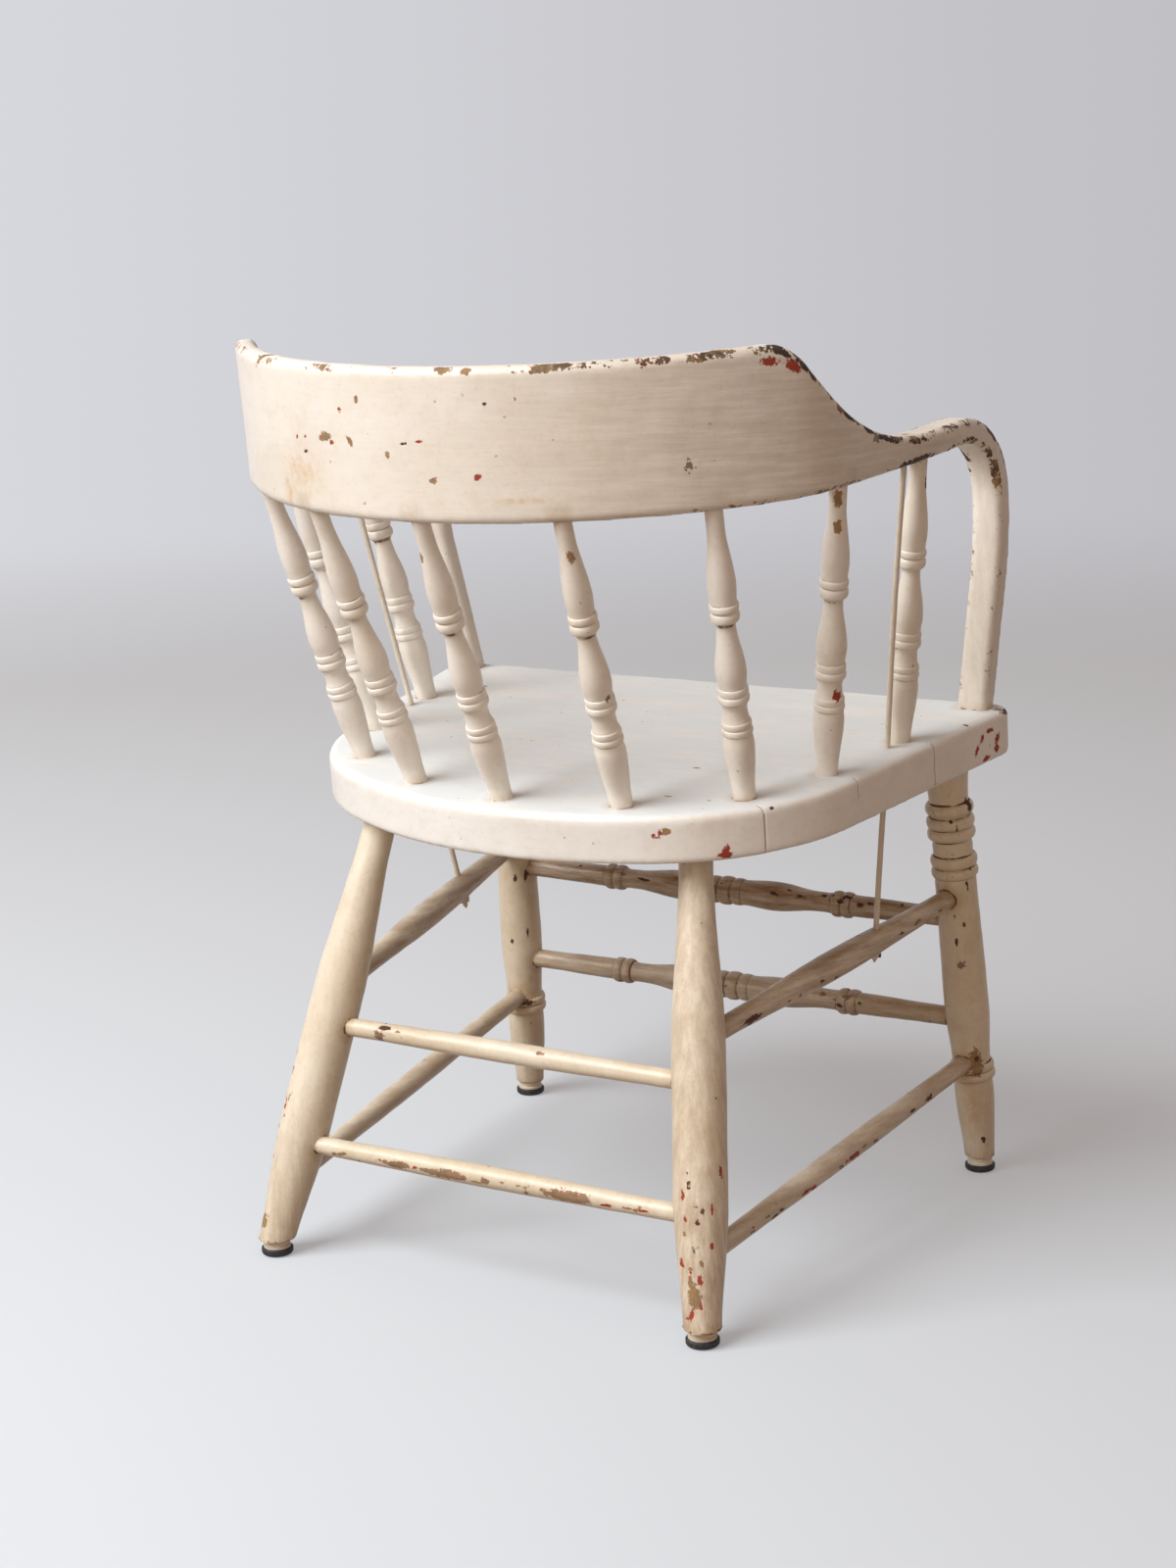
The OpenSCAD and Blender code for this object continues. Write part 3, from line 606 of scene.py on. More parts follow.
# The chips that stand out on the bow and on the seat's edge: what shows, bearing
# round the chair from straight behind towards the sitter's left in degrees, height
# above the floor, length, width (all three in millimetres), and tilt in degrees
ROUND_CHIPS: dict[str, list[Spot]] = {
    "bow": [
        (P, 25.5, 724, 4, 4, 0), (P, 23, 725, 4, 4, 0), (B, 17.5, 726, 15, 9, 15),
        (P, 16, 722, 7, 4, 0), (B, 11.5, 724, 10, 5, -55), (B, 3.5, 715, 7, 6, -50),
        (P, 13, 748, 5, 5, 0), (D, 23.5, 713, 8, 3, 5), (D, 0, 724, 7, 3, 10),
        (P, -3, 726, 8, 3, 0), (B, -5, 696, 7, 6, 30), (P, -13, 699, 9, 6, 50),
        (P, -20, 759, 4, 4, 0), (D, -15, 755, 5, 3, 0), (B, 9, 757, 4, 7, 0),
        (S, 26, 695, 44, 34, 0), (S, 31, 680, 14, 30, 0), (S, -20, 681, 60, 4, 0),
        (B, 36, 786, 24, 7, 8), (B, -8, 781, 18, 8, 0), (B, -12, 780, 10, 7, 0),
        (P, -59, 781, 18, 8, 0), (P, -63, 777, 20, 9, -30), (P, -74, 745, 9, 5, 70),
        (B, 58, 788, 8, 6, 0), (D, -112, 690, 16, 8, -60), (D, -117, 660, 16, 6, 85),
    ],
    "seat_board_front": [
        (P, -122.5, 438, 14, 5, 0), (P, -121, 433, 12, 5, 60), (P, -120, 424, 15, 5, 60),
        (P, -124, 429, 13, 7, 70), (P, -124, 420, 10, 7, 0), (P, -122, 414, 12, 6, 20),
        (D, -119, 447, 8, 4, 0), (D, -126.5, 450, 16, 7, 0),
    ],
    "seat_board_middle_rear": [(D, -66, 421, 5, 4, 0), (B, -76, 431, 7, 4, 0)],
    "seat_board_rear": [
        (P, -43, 403, 4, 7, 60), (P, -44.3, 405, 4, 8, 0), (B, -45.5, 407, 8, 6, 0),
        (P, -57, 386, 15, 6, 0), (P, -57, 389, 7, 13, 0), (D, -60, 378, 16, 5, 0),
    ],
}

# The chips that stand out on turned pieces: what shows, distance up the axis in
# millimetres, the way that it faces round the axis in degrees, length along the
# axis, width, and tilt
TURNED_CHIPS: dict[str, list[Spot]] = {
    "spindle_1": [(D, 255, -168, 12, 6, 0)],
    "spindle_2": [(B, 268, 116, 15, 9, 0), (B, 245, 122, 12, 8, 0), (P, 98, 150, 10, 9, 0)],
    "spindle_4": [(B, 253, 131, 13, 7, 0)],
    "spindle_5": [(B, 255, 58, 11, 6, 0)],
    "leg_rear_right": [(P, 107, 78, 13, 5, 0), (B, 26, 97, 22, 12, 0), (P, 53, 62, 9, 6, 0),
                       (P, 125, 165, 12, 5, 0)],
    "leg_rear_left": [(P, 165, 38, 8, 6, 0), (P, 118, 54, 7, 6, 0), (B, 14, 60, 14, 12, 0)],
    "leg_front_left": [(S, 99, 128, 30, 20, 0), (D, 94, 130, 6, 16, 0)],
    "leg_front_right": [(S, 369, 120, 22, 9, 0), (D, 349, 173, 16, 8, 0),
                        (B, 101, 128, 28, 14, 0), (S, 59, 108, 46, 22, 0)],
    "stretcher_rear_lower": [(B, 290, -98, 26, 8, 0), (B, 240, -96, 34, 10, 0),
                             (B, 200, -92, 10, 7, 0), (B, 118, -94, 50, 11, 0)],
    "stretcher_right_upper": [(D, 60, -174, 30, 6, 0)],
}


@dataclass(frozen=True)
class Flaking:
    """A stretch of a turned piece along which the paint flakes.

    Attributes:
        start: Where it starts on the axis, in millimetres.
        end: Where it ends.
        facing: The way that it faces round the axis, in degrees.
        spread: How far it goes to each side of that.
        count: How many chips it has.
        layers: What they show.
    """

    start: float
    end: float
    facing: float
    spread: float
    count: int
    layers: tuple[Layer, ...] = (B, B, D)


FLAKING: dict[str, Flaking] = {
    "stretcher_rear_lower": Flaking(30, 360, -96, 16, 34, (B, B, B, P)),
    "stretcher_rear_upper": Flaking(30, 350, -50, 30, 4),
    "stretcher_right_lower": Flaking(50, 390, 188, 22, 26, (B, D, D, P)),
    "stretcher_right_upper": Flaking(40, 380, 190, 34, 10, (B, D, D)),
    "stretcher_left_lower": Flaking(50, 390, 30, 40, 18, (B, D, D, P)),
    "stretcher_left_upper": Flaking(40, 380, 30, 40, 12),
    "stretcher_front_upper": Flaking(50, 400, -50, 30, 20, (D, D, B)),
    "stretcher_front_lower": Flaking(50, 400, -60, 30, 12),
    "leg_rear_right": Flaking(8, 140, 105, 60, 22, (B, P, P, D)),
    "leg_rear_left": Flaking(8, 150, 60, 50, 12, (B, P)),
    "leg_front_right": Flaking(15, 350, 150, 50, 14, (D, D, S, S)),
    "leg_front_left": Flaking(30, 330, 120, 50, 12, (S, D, S)),
}

# How dark a piece is all over: grime, and on the stretchers under the seat also painted shade
SOIL_AND_SHADE: dict[str, float] = {
    "stretcher_front_upper": 0.85, "stretcher_front_lower": 0.62,
    "stretcher_right_upper": 0.68, "stretcher_left_upper": 0.6,
    "stretcher_right_lower": 0.5, "stretcher_left_lower": 0.4,
    "leg_front_right": 0.02, "leg_rear_right": 0.35, "leg_rear_left": 0.1,
    "stretcher_rear_upper": 0.14,
}
# Chips scattered on each kind of piece over the sides that carry no others
SCATTER: dict[str, int] = {"bow": 60, "seat": 6, "leg": 14, "stretcher": 12,
                           "spindle": 5, "tie": 2, "glide_collar": 2}


class Damage:
    """Finds the place of each of a piece's chips on its surface.

    Attributes:
        OUTSIDE: Distance from the chair's middle that is clear of it.
        BESIDE: Distance from a turned piece's axis that is clear of it.
        REACH: How far a cast goes.
        INWARDS: How far along a cast that misses the nearest face is looked for.
        NEAR: How far from there.
        SHOWN_SIDE: The way that the side with placed chips faces.
        SIZES: Least and greatest length and width of a scattered chip, in millimetres.
        FLAKES: The same of a flake.
    """

    OUTSIDE, BESIDE, REACH, INWARDS, NEAR = 0.6, 0.06, 1.0, 0.3, 0.05
    SHOWN_SIDE = Vector((-0.5, 0.83, 0.25))
    SIZES = ((3, 11), (3, 6))
    FLAKES = ((3, 8), (2.5, 5))

    def __init__(self, piece: Piece, node: str) -> None:
        """Keeps the piece and makes its surface ready for casting."""
        self.piece = piece
        self.node = node
        self.tree = Bench.surface(piece)

    def mark(self, spot: Spot, start: Vector, way: Vector) -> list[Mark]:
        """Casts from outside onto the piece and marks what is met.

        Args:
            spot: What shows there, two values that the caller has used, and the sizes.
            start: A place outside the piece.
            way: The way to look.

        Returns:
            One mark, or none where nothing is met.
        """
        at, facing, *_ = self.tree.ray_cast(start, way, self.REACH)
        if at is None:
            at, facing, *_ = self.tree.find_nearest(start + way * self.INWARDS, self.NEAR)
        if at is None:
            return []
        return [Mark(spot[0], at, facing, spot[3] * MM, spot[4] * MM, spot[5])]

    def round_mark(self, spot: Spot) -> list[Mark]:
        """Marks a place given by its bearing round the chair and its height."""
        bearing = math.radians(spot[1])
        out = Vector((math.sin(bearing), math.cos(bearing), 0))
        return self.mark(spot, out * self.OUTSIDE + Vector((0, 0, spot[2] * MM)), -out)

    def turned_mark(self, spot: Spot) -> list[Mark]:
        """Marks a place on a turned piece, given along and round its axis."""
        axis = Axis.of(self.node, level_foot=self.node.startswith("leg"))
        frame_of = axis.matrix.to_3x3()
        turn = math.radians(spot[2])
        out = frame_of @ Vector((math.cos(turn), math.sin(turn), 0))
        at = axis.point(spot[1] * MM)
        found = self.mark(spot, at + out * self.BESIDE, -out)
        return [Mark(m.layer, m.at, m.facing, m.length, m.width,
                     self.tilt_along(m.facing, frame_of.col[2]) + spot[5]) for m in found]

    @staticmethod
    def tilt_along(facing: Vector, way: Vector) -> float:
        """Tilt in degrees that lays a mark's length along a given way."""
        along, up = across_and_up(facing.normalized())
        return math.degrees(math.atan2(way.dot(up), way.dot(along)))

    def scattered(self) -> list[Mark]:
        """Small chips at random places on the sides that carry no placed ones."""
        count = next((n for key, n in SCATTER.items() if self.node.startswith(key)), 0)
        dice = random.Random(self.node)
        points = self.piece.data.vertices
        found: list[Mark] = []
        while len(found) < count:
            point = points[dice.randrange(len(points))]
            layer = dice.choice((B, B, P, D, D, S))
            length, width = (dice.uniform(*sizes) for sizes in self.SIZES)
            tilt = dice.uniform(-90, 90)
            if point.normal.dot(self.SHOWN_SIDE) < 0 and point.normal.z > -0.8:
                found.append(Mark(layer, point.co.copy(), point.normal.copy(),
                                  length * MM, width * MM, tilt))
        return found

    def flaking(self, stretch: Flaking) -> list[Mark]:
        """The chips of one flaking stretch."""
        dice = random.Random(self.node + " flaking")
        found: list[Mark] = []
        for _ in range(stretch.count):
            length = dice.uniform(*self.FLAKES[0]) * dice.choice((1, 1, 2))
            found += self.turned_mark((dice.choice(stretch.layers),
                                       dice.uniform(stretch.start, stretch.end),
                                       stretch.facing + dice.gauss(0, stretch.spread / 2),
                                       length, dice.uniform(*self.FLAKES[1]),
                                       dice.gauss(0, 8)))
        return found

    def marks(self) -> list[Mark]:
        """Every mark on the piece."""
        found = self.scattered()
        if self.node in FLAKING:
            found += self.flaking(FLAKING[self.node])
        for spot in ROUND_CHIPS.get(self.node, []):
            found += self.round_mark(spot)
        for spot in TURNED_CHIPS.get(self.node, []):
            found += self.turned_mark(spot)
        return found


# ---- Finishes ------------------------------------------------------------------


class Tone(Enum):
    """Colours that aged pieces share, written as RRGGBB on a screen."""

    # pale dust, which is also painted light on faces that point up
    DUST_AND_TOP_LIGHT = "E3E9EB"
    YELLOWED = "D8C29A"
    STAINED = "CFA566"
    # grime together with painted shade, in grooves and round joints
    DIRT_AND_SHADE_VEIL = "A9834F"
    GRIME = "6E4A2A"
    # brown grime, also used as painted shade under the seat and on the bow's right side
    SHADE_AND_SOIL = "8A6338"
    SEAM = "6E4526"
    SPECK = "8C8172"
    GRIT = "6A3F22"
    BARE_RIM = "A8543C"
    PRIMER_RIM = "C98D77"
    PRIMER = "9C3C28"
    MURK = "3C2A1E"
    DARK_RIM = "8A4A2E"
    DARK = "4C2C1D"


class Graph:
    """Writes nodes into one tree."""

    def __init__(self, tree: bpy.types.NodeTree) -> None:
        """Keeps the tree and counts its nodes, to lay them out in columns."""
        self.tree = tree
        self.count = 0

    def add(self, kind: str, inputs: dict | None = None, **settings: object
            ) -> bpy.types.Node:
        """Adds a node, sets it and feeds its inputs.

        Args:
            kind: Type of the node.
            inputs: Values or sockets, by input name or number.
            **settings: Other values of the node.

        Returns:
            The node.
        """
        node = self.tree.nodes.new(kind)
        node.location = (220 * (self.count % 12), -320 * (self.count // 12))
        self.count += 1
        for key, value in settings.items():
            setattr(node, key, value)
        for key, value in (inputs or {}).items():
            self.feed(node.inputs[key], value)
        return node

    def feed(self, socket: Socket, value: object) -> None:
        """Links a socket to another, or sets its value."""
        if isinstance(value, bpy.types.NodeSocket):
            self.tree.links.new(value, socket)
        else:
            socket.default_value = value

    def sum(self, operation: str, a: object, b: object, clamp: bool = False) -> Socket:
        """One step of arithmetic."""
        return self.add("ShaderNodeMath", {0: a, 1: b}, operation=operation,
                        use_clamp=clamp).outputs[0]

    def chain(self, operation: str, *values: object) -> Socket:
        """The same step of arithmetic over several values."""
        total = values[0]
        for value in values[1:]:
            total = self.sum(operation, total, value)
        return total

    def times(self, *values: object) -> Socket:
        """The product of several values."""
        return self.chain("MULTIPLY", *values)

    def plus(self, *values: object) -> Socket:
        """The total of several values."""
        return self.chain("ADD", *values)

    def most(self, *values: object) -> Socket:
        """The largest of several values."""
        return self.chain("MAXIMUM", *values)

    def rise(self, value: Socket, low: object, high: object, top: object = 1.0) -> Socket:
        """A smooth rise from 0 to a top as a value passes from low to high."""
        return self.add("ShaderNodeMapRange", {"Value": value, "From Min": low,
                                               "From Max": high, "To Max": top},
                        interpolation_type="SMOOTHSTEP").outputs[0]

    def mix(self, factor: object, a: object, b: object) -> Socket:
        """A blend of two colours."""
        return self.add("ShaderNodeMix", {0: factor, 6: a, 7: b},
                        data_type="RGBA").outputs[2]

    def cover(self, under: Socket, mask: object, tone: Tone) -> Socket:
        """Lays one of the shared colours over another where a mask says."""
        return self.mix(mask, under, colour(tone.value))

    def noise(self, vector: Socket, scale: object, detail: float = 3.0,
              roughness: float = 0.55, distortion: float = 0.0) -> Socket:
        """Cloudy noise from 0 to 1."""
        return self.add("ShaderNodeTexNoise", {"Vector": vector, "Scale": scale,
                                               "Detail": detail, "Roughness": roughness,
                                               "Distortion": distortion}).outputs[0]

    def stretched(self, vector: Socket, scale: object) -> Socket:
        """The same coordinates, scaled along each axis."""
        return self.add("ShaderNodeVectorMath", {0: vector, 1: scale},
                        operation="MULTIPLY").outputs[0]

    def attribute(self, name: str) -> Socket:
        """A value stored on the piece."""
        return self.add("ShaderNodeAttribute", attribute_name=name).outputs["Fac"]

    def surface(self, base: Socket, roughness: object, height: Socket, strength: float,
                depth: float) -> None:
        """Ends a material in one coated surface with a bump.

        Args:
            base: Its colour.
            roughness: Its roughness.
            height: The height of the bump.
            strength: How strong the bump is.
            depth: How deep the bump is.
        """
        bump = self.add("ShaderNodeBump", {"Strength": strength, "Distance": depth,
                                           "Height": height}).outputs[0]
        coat = self.add("ShaderNodeBsdfPrincipled", {"Base Color": base, "Normal": bump,
                                                     "Roughness": roughness})
        self.add("ShaderNodeOutputMaterial", {0: coat.outputs[0]})


def new_material(name: str) -> tuple[bpy.types.Material, Graph]:
    """Makes a material with an empty graph."""
    material = bpy.data.materials.new(name)
    material.use_nodes = True
    material.node_tree.nodes.clear()
    return material, Graph(material.node_tree)


class Effect:
    """A shader node group that several finishes share."""

    def __init__(self, name: str, inputs: dict[str, object], outputs: dict[str, str]) -> None:
        """Makes the empty group.

        Args:
            name: Name of the group.
            inputs: Default value of each input; None is a vector that has to be fed.
            outputs: Socket type of each output.
        """
        self.tree = bpy.data.node_groups.new(name, "ShaderNodeTree")
        for key, value in inputs.items():
            kind = ("NodeSocketFloat" if isinstance(value, float) else
                    "NodeSocketColor" if value is not None and len(value) == 4
                    else "NodeSocketVector")
            socket = self.tree.interface.new_socket(name=key, in_out="INPUT",
                                                    socket_type=kind)
            if value is not None:
                socket.default_value = value
        for key, kind in outputs.items():
            self.tree.interface.new_socket(name=key, in_out="OUTPUT",
                                           socket_type=f"NodeSocket{kind}")
        self.graph = Graph(self.tree)
        self.given = self.graph.add("NodeGroupInput").outputs
        self.result = self.graph.add("NodeGroupOutput").inputs

    def put(self, name: str, value: Socket) -> None:
        """Feeds one output."""
        self.graph.feed(self.result[name], value)

    def into(self, graph: Graph, **inputs: object) -> bpy.types.Node:
        """Places the group in a material and feeds its inputs by name."""
        node = graph.add("ShaderNodeGroup", node_tree=self.tree)
        for key, value in inputs.items():
            graph.feed(node.inputs[key.replace("_", " ")], value)
        return node


WHITE, GREY = (1.0, 1.0, 1.0, 1.0), (0.5, 0.5, 0.5, 1.0)


class Effects:
    """The effects of an old painted surface, each made once."""

    def __init__(self) -> None:
        """Makes every group."""
        self.film = self.make_film()
        self.chip = self.make_chip()
        self.wood = self.make_wood()
        self.dirt_and_shade = self.make_dirt_and_shade()
        self.specks = self.make_specks()

    @staticmethod
    def make_film() -> Effect:
        """Thick brushed paint: its mottled colour and its brush marks."""
        effect = Effect("Old film", {"Vector": None, "Strokes": None, "Fresh": WHITE,
                                     "Aged": GREY}, {"Color": "Color", "Height": "Float"})
        g, given = effect.graph, effect.given
        place = given["Vector"]
        brushed = g.noise(given["Strokes"], 46.0, 4.0, 0.6)
        age = g.rise(g.noise(place, 7.0), 0.35, 0.7, 0.6)
        for spots, low, high, top in ((g.noise(place, 45.0, 4.0, 0.6), 0.45, 0.75, 0.4),
                                      (brushed, 0.5, 0.75, 0.22),
                                      (g.noise(place, 230.0, 3.0, 0.7), 0.5, 0.72, 0.4)):
            age = g.sum("ADD", age, g.rise(spots, low, high, top), clamp=True)
        effect.put("Color", g.mix(age, given["Fresh"], given["Aged"]))
        peel = g.noise(place, 160.0, 2.0, 0.5)
        effect.put("Height", g.plus(g.times(brushed, 0.6), g.times(peel, 0.6)))
        return effect

    @staticmethod
    def make_chip() -> Effect:
        """A soft peak cut to a ragged chip, with a narrow fringe round it."""
        effect = Effect("Chip", {"Vector": None, "Peak": 0.0, "Rag": 0.3, "Grain": 330.0},
                        {"Core": "Float", "Fringe": "Float"})
        g, given = effect.graph, effect.given
        coarse = g.noise(given["Vector"], given["Grain"], 4.0, 0.7)
        level = g.plus(given["Peak"], g.times(g.sum("SUBTRACT", coarse, 0.5), given["Rag"]))
        patchy = g.rise(g.noise(given["Vector"], 95.0, 1.0), 0.42, 0.6)
        wide, core = g.rise(level, 0.5, 0.53), g.rise(level, 0.56, 0.6)
        effect.put("Core", core)
        effect.put("Fringe", g.times(patchy, g.sum("SUBTRACT", wide, core, clamp=True)))
        return effect

    @staticmethod
    def make_wood() -> Effect:
        """Bare grey-brown wood with its grain along one way."""
        effect = Effect("Bare wood", {"Vector": None, "Strokes": None, "Pale": WHITE,
                                      "Deep": GREY}, {"Color": "Color"})
        g, given = effect.graph, effect.given
        lines = g.rise(g.noise(given["Strokes"], 70.0, 4.0, 0.7), 0.35, 0.7, 0.6)
        patches = g.rise(g.noise(given["Vector"], 140.0, 2.0), 0.4, 0.7, 0.5)
        effect.put("Color", g.mix(g.sum("ADD", lines, patches, clamp=True),
                                  given["Pale"], given["Deep"]))
        return effect

    @staticmethod
    def make_dirt_and_shade() -> Effect:
        """Brown grime in grooves and round joints, and a softer veil of painted shade there,
        broken up by noise.
        """
        effect = Effect("DirtAndShade", {"Vector": None, "Groove": 0.0, "Touch": 0.0,
                                 "Amount": 1.0}, {"Mask": "Float", "DirtShadeVeil": "Float"})
        g, given = effect.graph, effect.given
        groove, touch = given["Groove"], given["Touch"]
        patchy = g.noise(given["Vector"], 38.0, 4.0, 0.65)
        grainy = g.noise(given["Vector"], 300.0, 2.0)
        cut = g.times(groove, g.rise(patchy, 0.3, 0.62, 1.25))
        joint = g.times(g.rise(touch, 0.78, 1.0), g.rise(patchy, 0.34, 0.64))
        level = g.plus(g.times(g.most(cut, joint), given["Amount"]),
                       g.times(g.sum("SUBTRACT", grainy, 0.5), 0.3))
        effect.put("Mask", g.rise(level, 0.4, 0.72))
        # Soft veil: painted shade in grooves and near neighbouring pieces, mixed with grime
        soft = g.most(g.times(groove, 0.8), g.rise(touch, 0.1, 1.0, 0.6))
        effect.put("DirtShadeVeil", g.times(soft, g.rise(patchy, 0.25, 0.7)))
        return effect

    @staticmethod
    def make_specks() -> Effect:
        """Sparse small specks of uneven size."""
        effect = Effect("Specks", {"Vector": None, "Scale": 60.0, "Size": 0.12,
                                   "Share": 0.3}, {"Mask": "Float"})
        g, given = effect.graph, effect.given
        warp = g.sum("SUBTRACT", g.noise(given["Vector"], 320.0, 2.0), 0.5)
        cells = g.add("ShaderNodeTexVoronoi", {"Vector": given["Vector"],
                                               "Scale": given["Scale"]}).outputs
        tint = g.add("ShaderNodeSeparateColor", {0: cells["Color"]}).outputs
        size = g.times(given["Size"], g.plus(tint[1], 0.3))
        dot = g.sum("LESS_THAN", g.plus(cells["Distance"], g.times(warp, 0.32)), size)
        effect.put("Mask", g.times(dot, g.sum("LESS_THAN", tint[0], given["Share"])))
        return effect


@dataclass(frozen=True)
class OldPaint:
    """Cream gloss paint over red primer over wood, and how far it has worn.

    Attributes:
        slot: The record's material slot.
        fresh: Colour of the paint where it is clean.
        aged: Colour where it has yellowed or greyed.
        stroke: How the brush marks are drawn out along each axis.
        edge_wear: How readily edges lose their paint.
        dirt_and_shade: How much grime sits in grooves and round joints, and how dark the
            painted shade veil there is.
        specks: Share of the surface's cells that hold a dark speck.
        dust: How much pale dust lies on surfaces that face up, where it also serves as painted
            top light.
        wood: Two colours of the bare wood.
        UPRIGHT_STROKE: The stroke where a piece runs upright.
        ROUGHNESS: Roughness of the sound paint.
        STORED: What each piece stores for its finish.
    """

    slot: str
    fresh: str
    aged: str
    stroke: Row = (1.0, 1.0, 1.0)
    edge_wear: float = 0.3
    dirt_and_shade: float = 1.0
    specks: float = 0.12
    dust: float = 0.0
    wood: tuple[str, str] = ("AC8750", "807362")

    UPRIGHT_STROKE: ClassVar[Row] = (14.0, 14.0, 1.0)
    ROUGHNESS: ClassVar[float] = 0.34
    STORED: ClassVar[tuple[str, ...]] = ("edge", "groove", "touch", "soil_and_shade", "wear", "seam",
                                         "upright", "bare", "primer", "dark", "stain")

    def material(self, effects: Effects) -> bpy.types.Material:
        """Writes the finish as a material.

        Args:
            effects: The shared node groups.

        Returns:
            The material, ready for a piece that has been aged.
        """
        material, g = new_material(self.slot)
        place = g.add("ShaderNodeTexCoord").outputs["Object"]
        stored = {name: g.attribute(name) for name in self.STORED}
        strokes = g.add("ShaderNodeMix", {0: stored["upright"],
                                          4: g.stretched(place, self.stroke),
                                          5: g.stretched(place, self.UPRIGHT_STROKE)},
                        data_type="VECTOR").outputs[1]
        film = effects.film.into(g, Vector=place, Strokes=strokes, Fresh=colour(self.fresh),
                                 Aged=colour(self.aged)).outputs
        # Pale dust on upward faces, which also stands in for the light falling on the top
        dust_top_light = self.dust_and_top_light(g, place)
        paint = g.cover(film["Color"], dust_top_light, Tone.DUST_AND_TOP_LIGHT)
        paint = self.stained(g, effects, place, stored["stain"], paint)
        dirt_and_shade = effects.dirt_and_shade.into(g, Vector=place, Groove=stored["groove"],
                                 Touch=stored["touch"], Amount=self.dirt_and_shade).outputs
        # Painted shade veil in grooves and round joints, mixed with grime
        paint = g.cover(paint, g.times(dirt_and_shade["DirtShadeVeil"], 0.75 * self.dirt_and_shade), Tone.DIRT_AND_SHADE_VEIL)
        paint = g.cover(paint, dirt_and_shade["Mask"], Tone.GRIME)
        # Brown grime, which on the stretchers under the seat and on the bow's right side is
        # also painted shade
        soil_and_shade = g.times(stored["soil_and_shade"], g.rise(g.noise(strokes, 14.0, 5.0, 0.7), 0.2, 0.75, 1.2))
        paint = g.cover(paint, g.sum("MINIMUM", soil_and_shade, 0.92), Tone.SHADE_AND_SOIL)
        paint = g.cover(paint, g.rise(stored["seam"], 0.72, 0.9), Tone.SEAM)
        for scale, size, share, strength, tone in (
                (90.0, 0.1, self.specks, 0.55, Tone.SPECK),
                (24.0, 0.09, self.specks * 0.8, 0.85, Tone.GRIT)):
            specks = effects.specks.into(g, Vector=place, Scale=scale, Size=size, Share=share)
            paint = g.cover(paint, g.times(specks.outputs["Mask"], strength), tone)
        paint, lost = self.chipped(g, effects, place, strokes, stored, paint)
        rough = g.most(g.times(lost, 0.8), g.times(dirt_and_shade["Mask"], 0.75),
                       g.plus(self.ROUGHNESS, g.times(dust_top_light, 0.25)))
        height = g.sum("SUBTRACT", g.times(film["Height"], 0.7), lost)
        g.surface(paint, rough, height, 0.6, 0.35 * MM)
        return material

    def dust_and_top_light(self, g: Graph, place: Socket) -> Socket:
        """Where dust lies, which also serves as painted top light: on what faces up, in
        drawn-out patches.
        """
        up = g.add("ShaderNodeSeparateXYZ",
                   {0: g.add("ShaderNodeNewGeometry").outputs["Normal"]}).outputs[2]
        patches = g.noise(g.stretched(place, (0.5, 2.0, 1.0)), 16.0, 4.0, 0.7)
        return g.times(g.rise(up, 0.6, 0.95, self.dust), g.rise(patches, 0.15, 0.6))

    @staticmethod
    def stained(g: Graph, effects: Effects, place: Socket, stain: Socket,
                paint: Socket) -> Socket:
        """Yellows the paint in clouds and darkens it where it is stained.

        Args:
            g: The material's graph.
            effects: The shared node groups.
            place: Place on the piece.
            stain: Soft peaks of the stains.
            paint: The colour so far.

        Returns:
            The colour.
        """
        paint = g.cover(paint, g.rise(g.noise(place, 11.0, 3.0, 0.6), 0.62, 0.82, 0.35),
                        Tone.YELLOWED)
        ragged = effects.chip.into(g, Vector=place, Peak=stain, Rag=0.9, Grain=90.0)
        cloudy = g.times(g.rise(stain, 0.0, 1.0),
                         g.rise(g.noise(place, 120.0, 4.0, 0.7), 0.3, 0.75))
        depth = g.times(g.plus(cloudy, g.times(ragged.outputs["Core"], 0.15)), 0.6)
        return g.cover(paint, depth, Tone.STAINED)

    def chipped(self, g: Graph, effects: Effects, place: Socket, strokes: Socket,
                stored: dict[str, Socket], paint: Socket) -> tuple[Socket, Socket]:
        """Takes the paint off worn edges and where it is chipped.

        Args:
            g: The material's graph.
            effects: The shared node groups.
            place: Place on the piece.
            strokes: The same, drawn out along the brush marks.
            stored: What the piece has stored.
            paint: The colour so far.

        Returns:
            The colour, and one where the paint is lost.
        """
        wood = effects.wood.into(g, Vector=place, Strokes=strokes, Pale=colour(self.wood[0]),
                                 Deep=colour(self.wood[1])).outputs["Color"]
        worn = g.times(stored["edge"], g.times(stored["wear"], 1.6 * self.edge_wear),
                       g.rise(g.noise(place, 34.0, 5.0, 0.75), 0.34, 0.64))
        murk = g.times(g.rise(g.noise(place, 26.0, 4.0, 0.7), 0.36, 0.54),
                       g.rise(stored["wear"], 0.25, 0.85))
        bare, primer, dark = (
            effects.chip.into(g, Vector=place, Peak=peak, Rag=rag).outputs
            for peak, rag in ((g.most(stored["bare"], worn), 1.0),
                              (stored["primer"], 1.1), (stored["dark"], 1.1)))
        paint = g.cover(paint, bare["Fringe"], Tone.BARE_RIM)
        paint = g.cover(paint, primer["Fringe"], Tone.PRIMER_RIM)
        paint = g.cover(paint, primer["Core"], Tone.PRIMER)
        paint = g.mix(bare["Core"], paint, g.cover(wood, murk, Tone.MURK))
        paint = g.cover(paint, dark["Fringe"], Tone.DARK_RIM)
        paint = g.cover(paint, dark["Core"], Tone.DARK)
        return paint, g.most(bare["Core"], primer["Core"], dark["Core"])


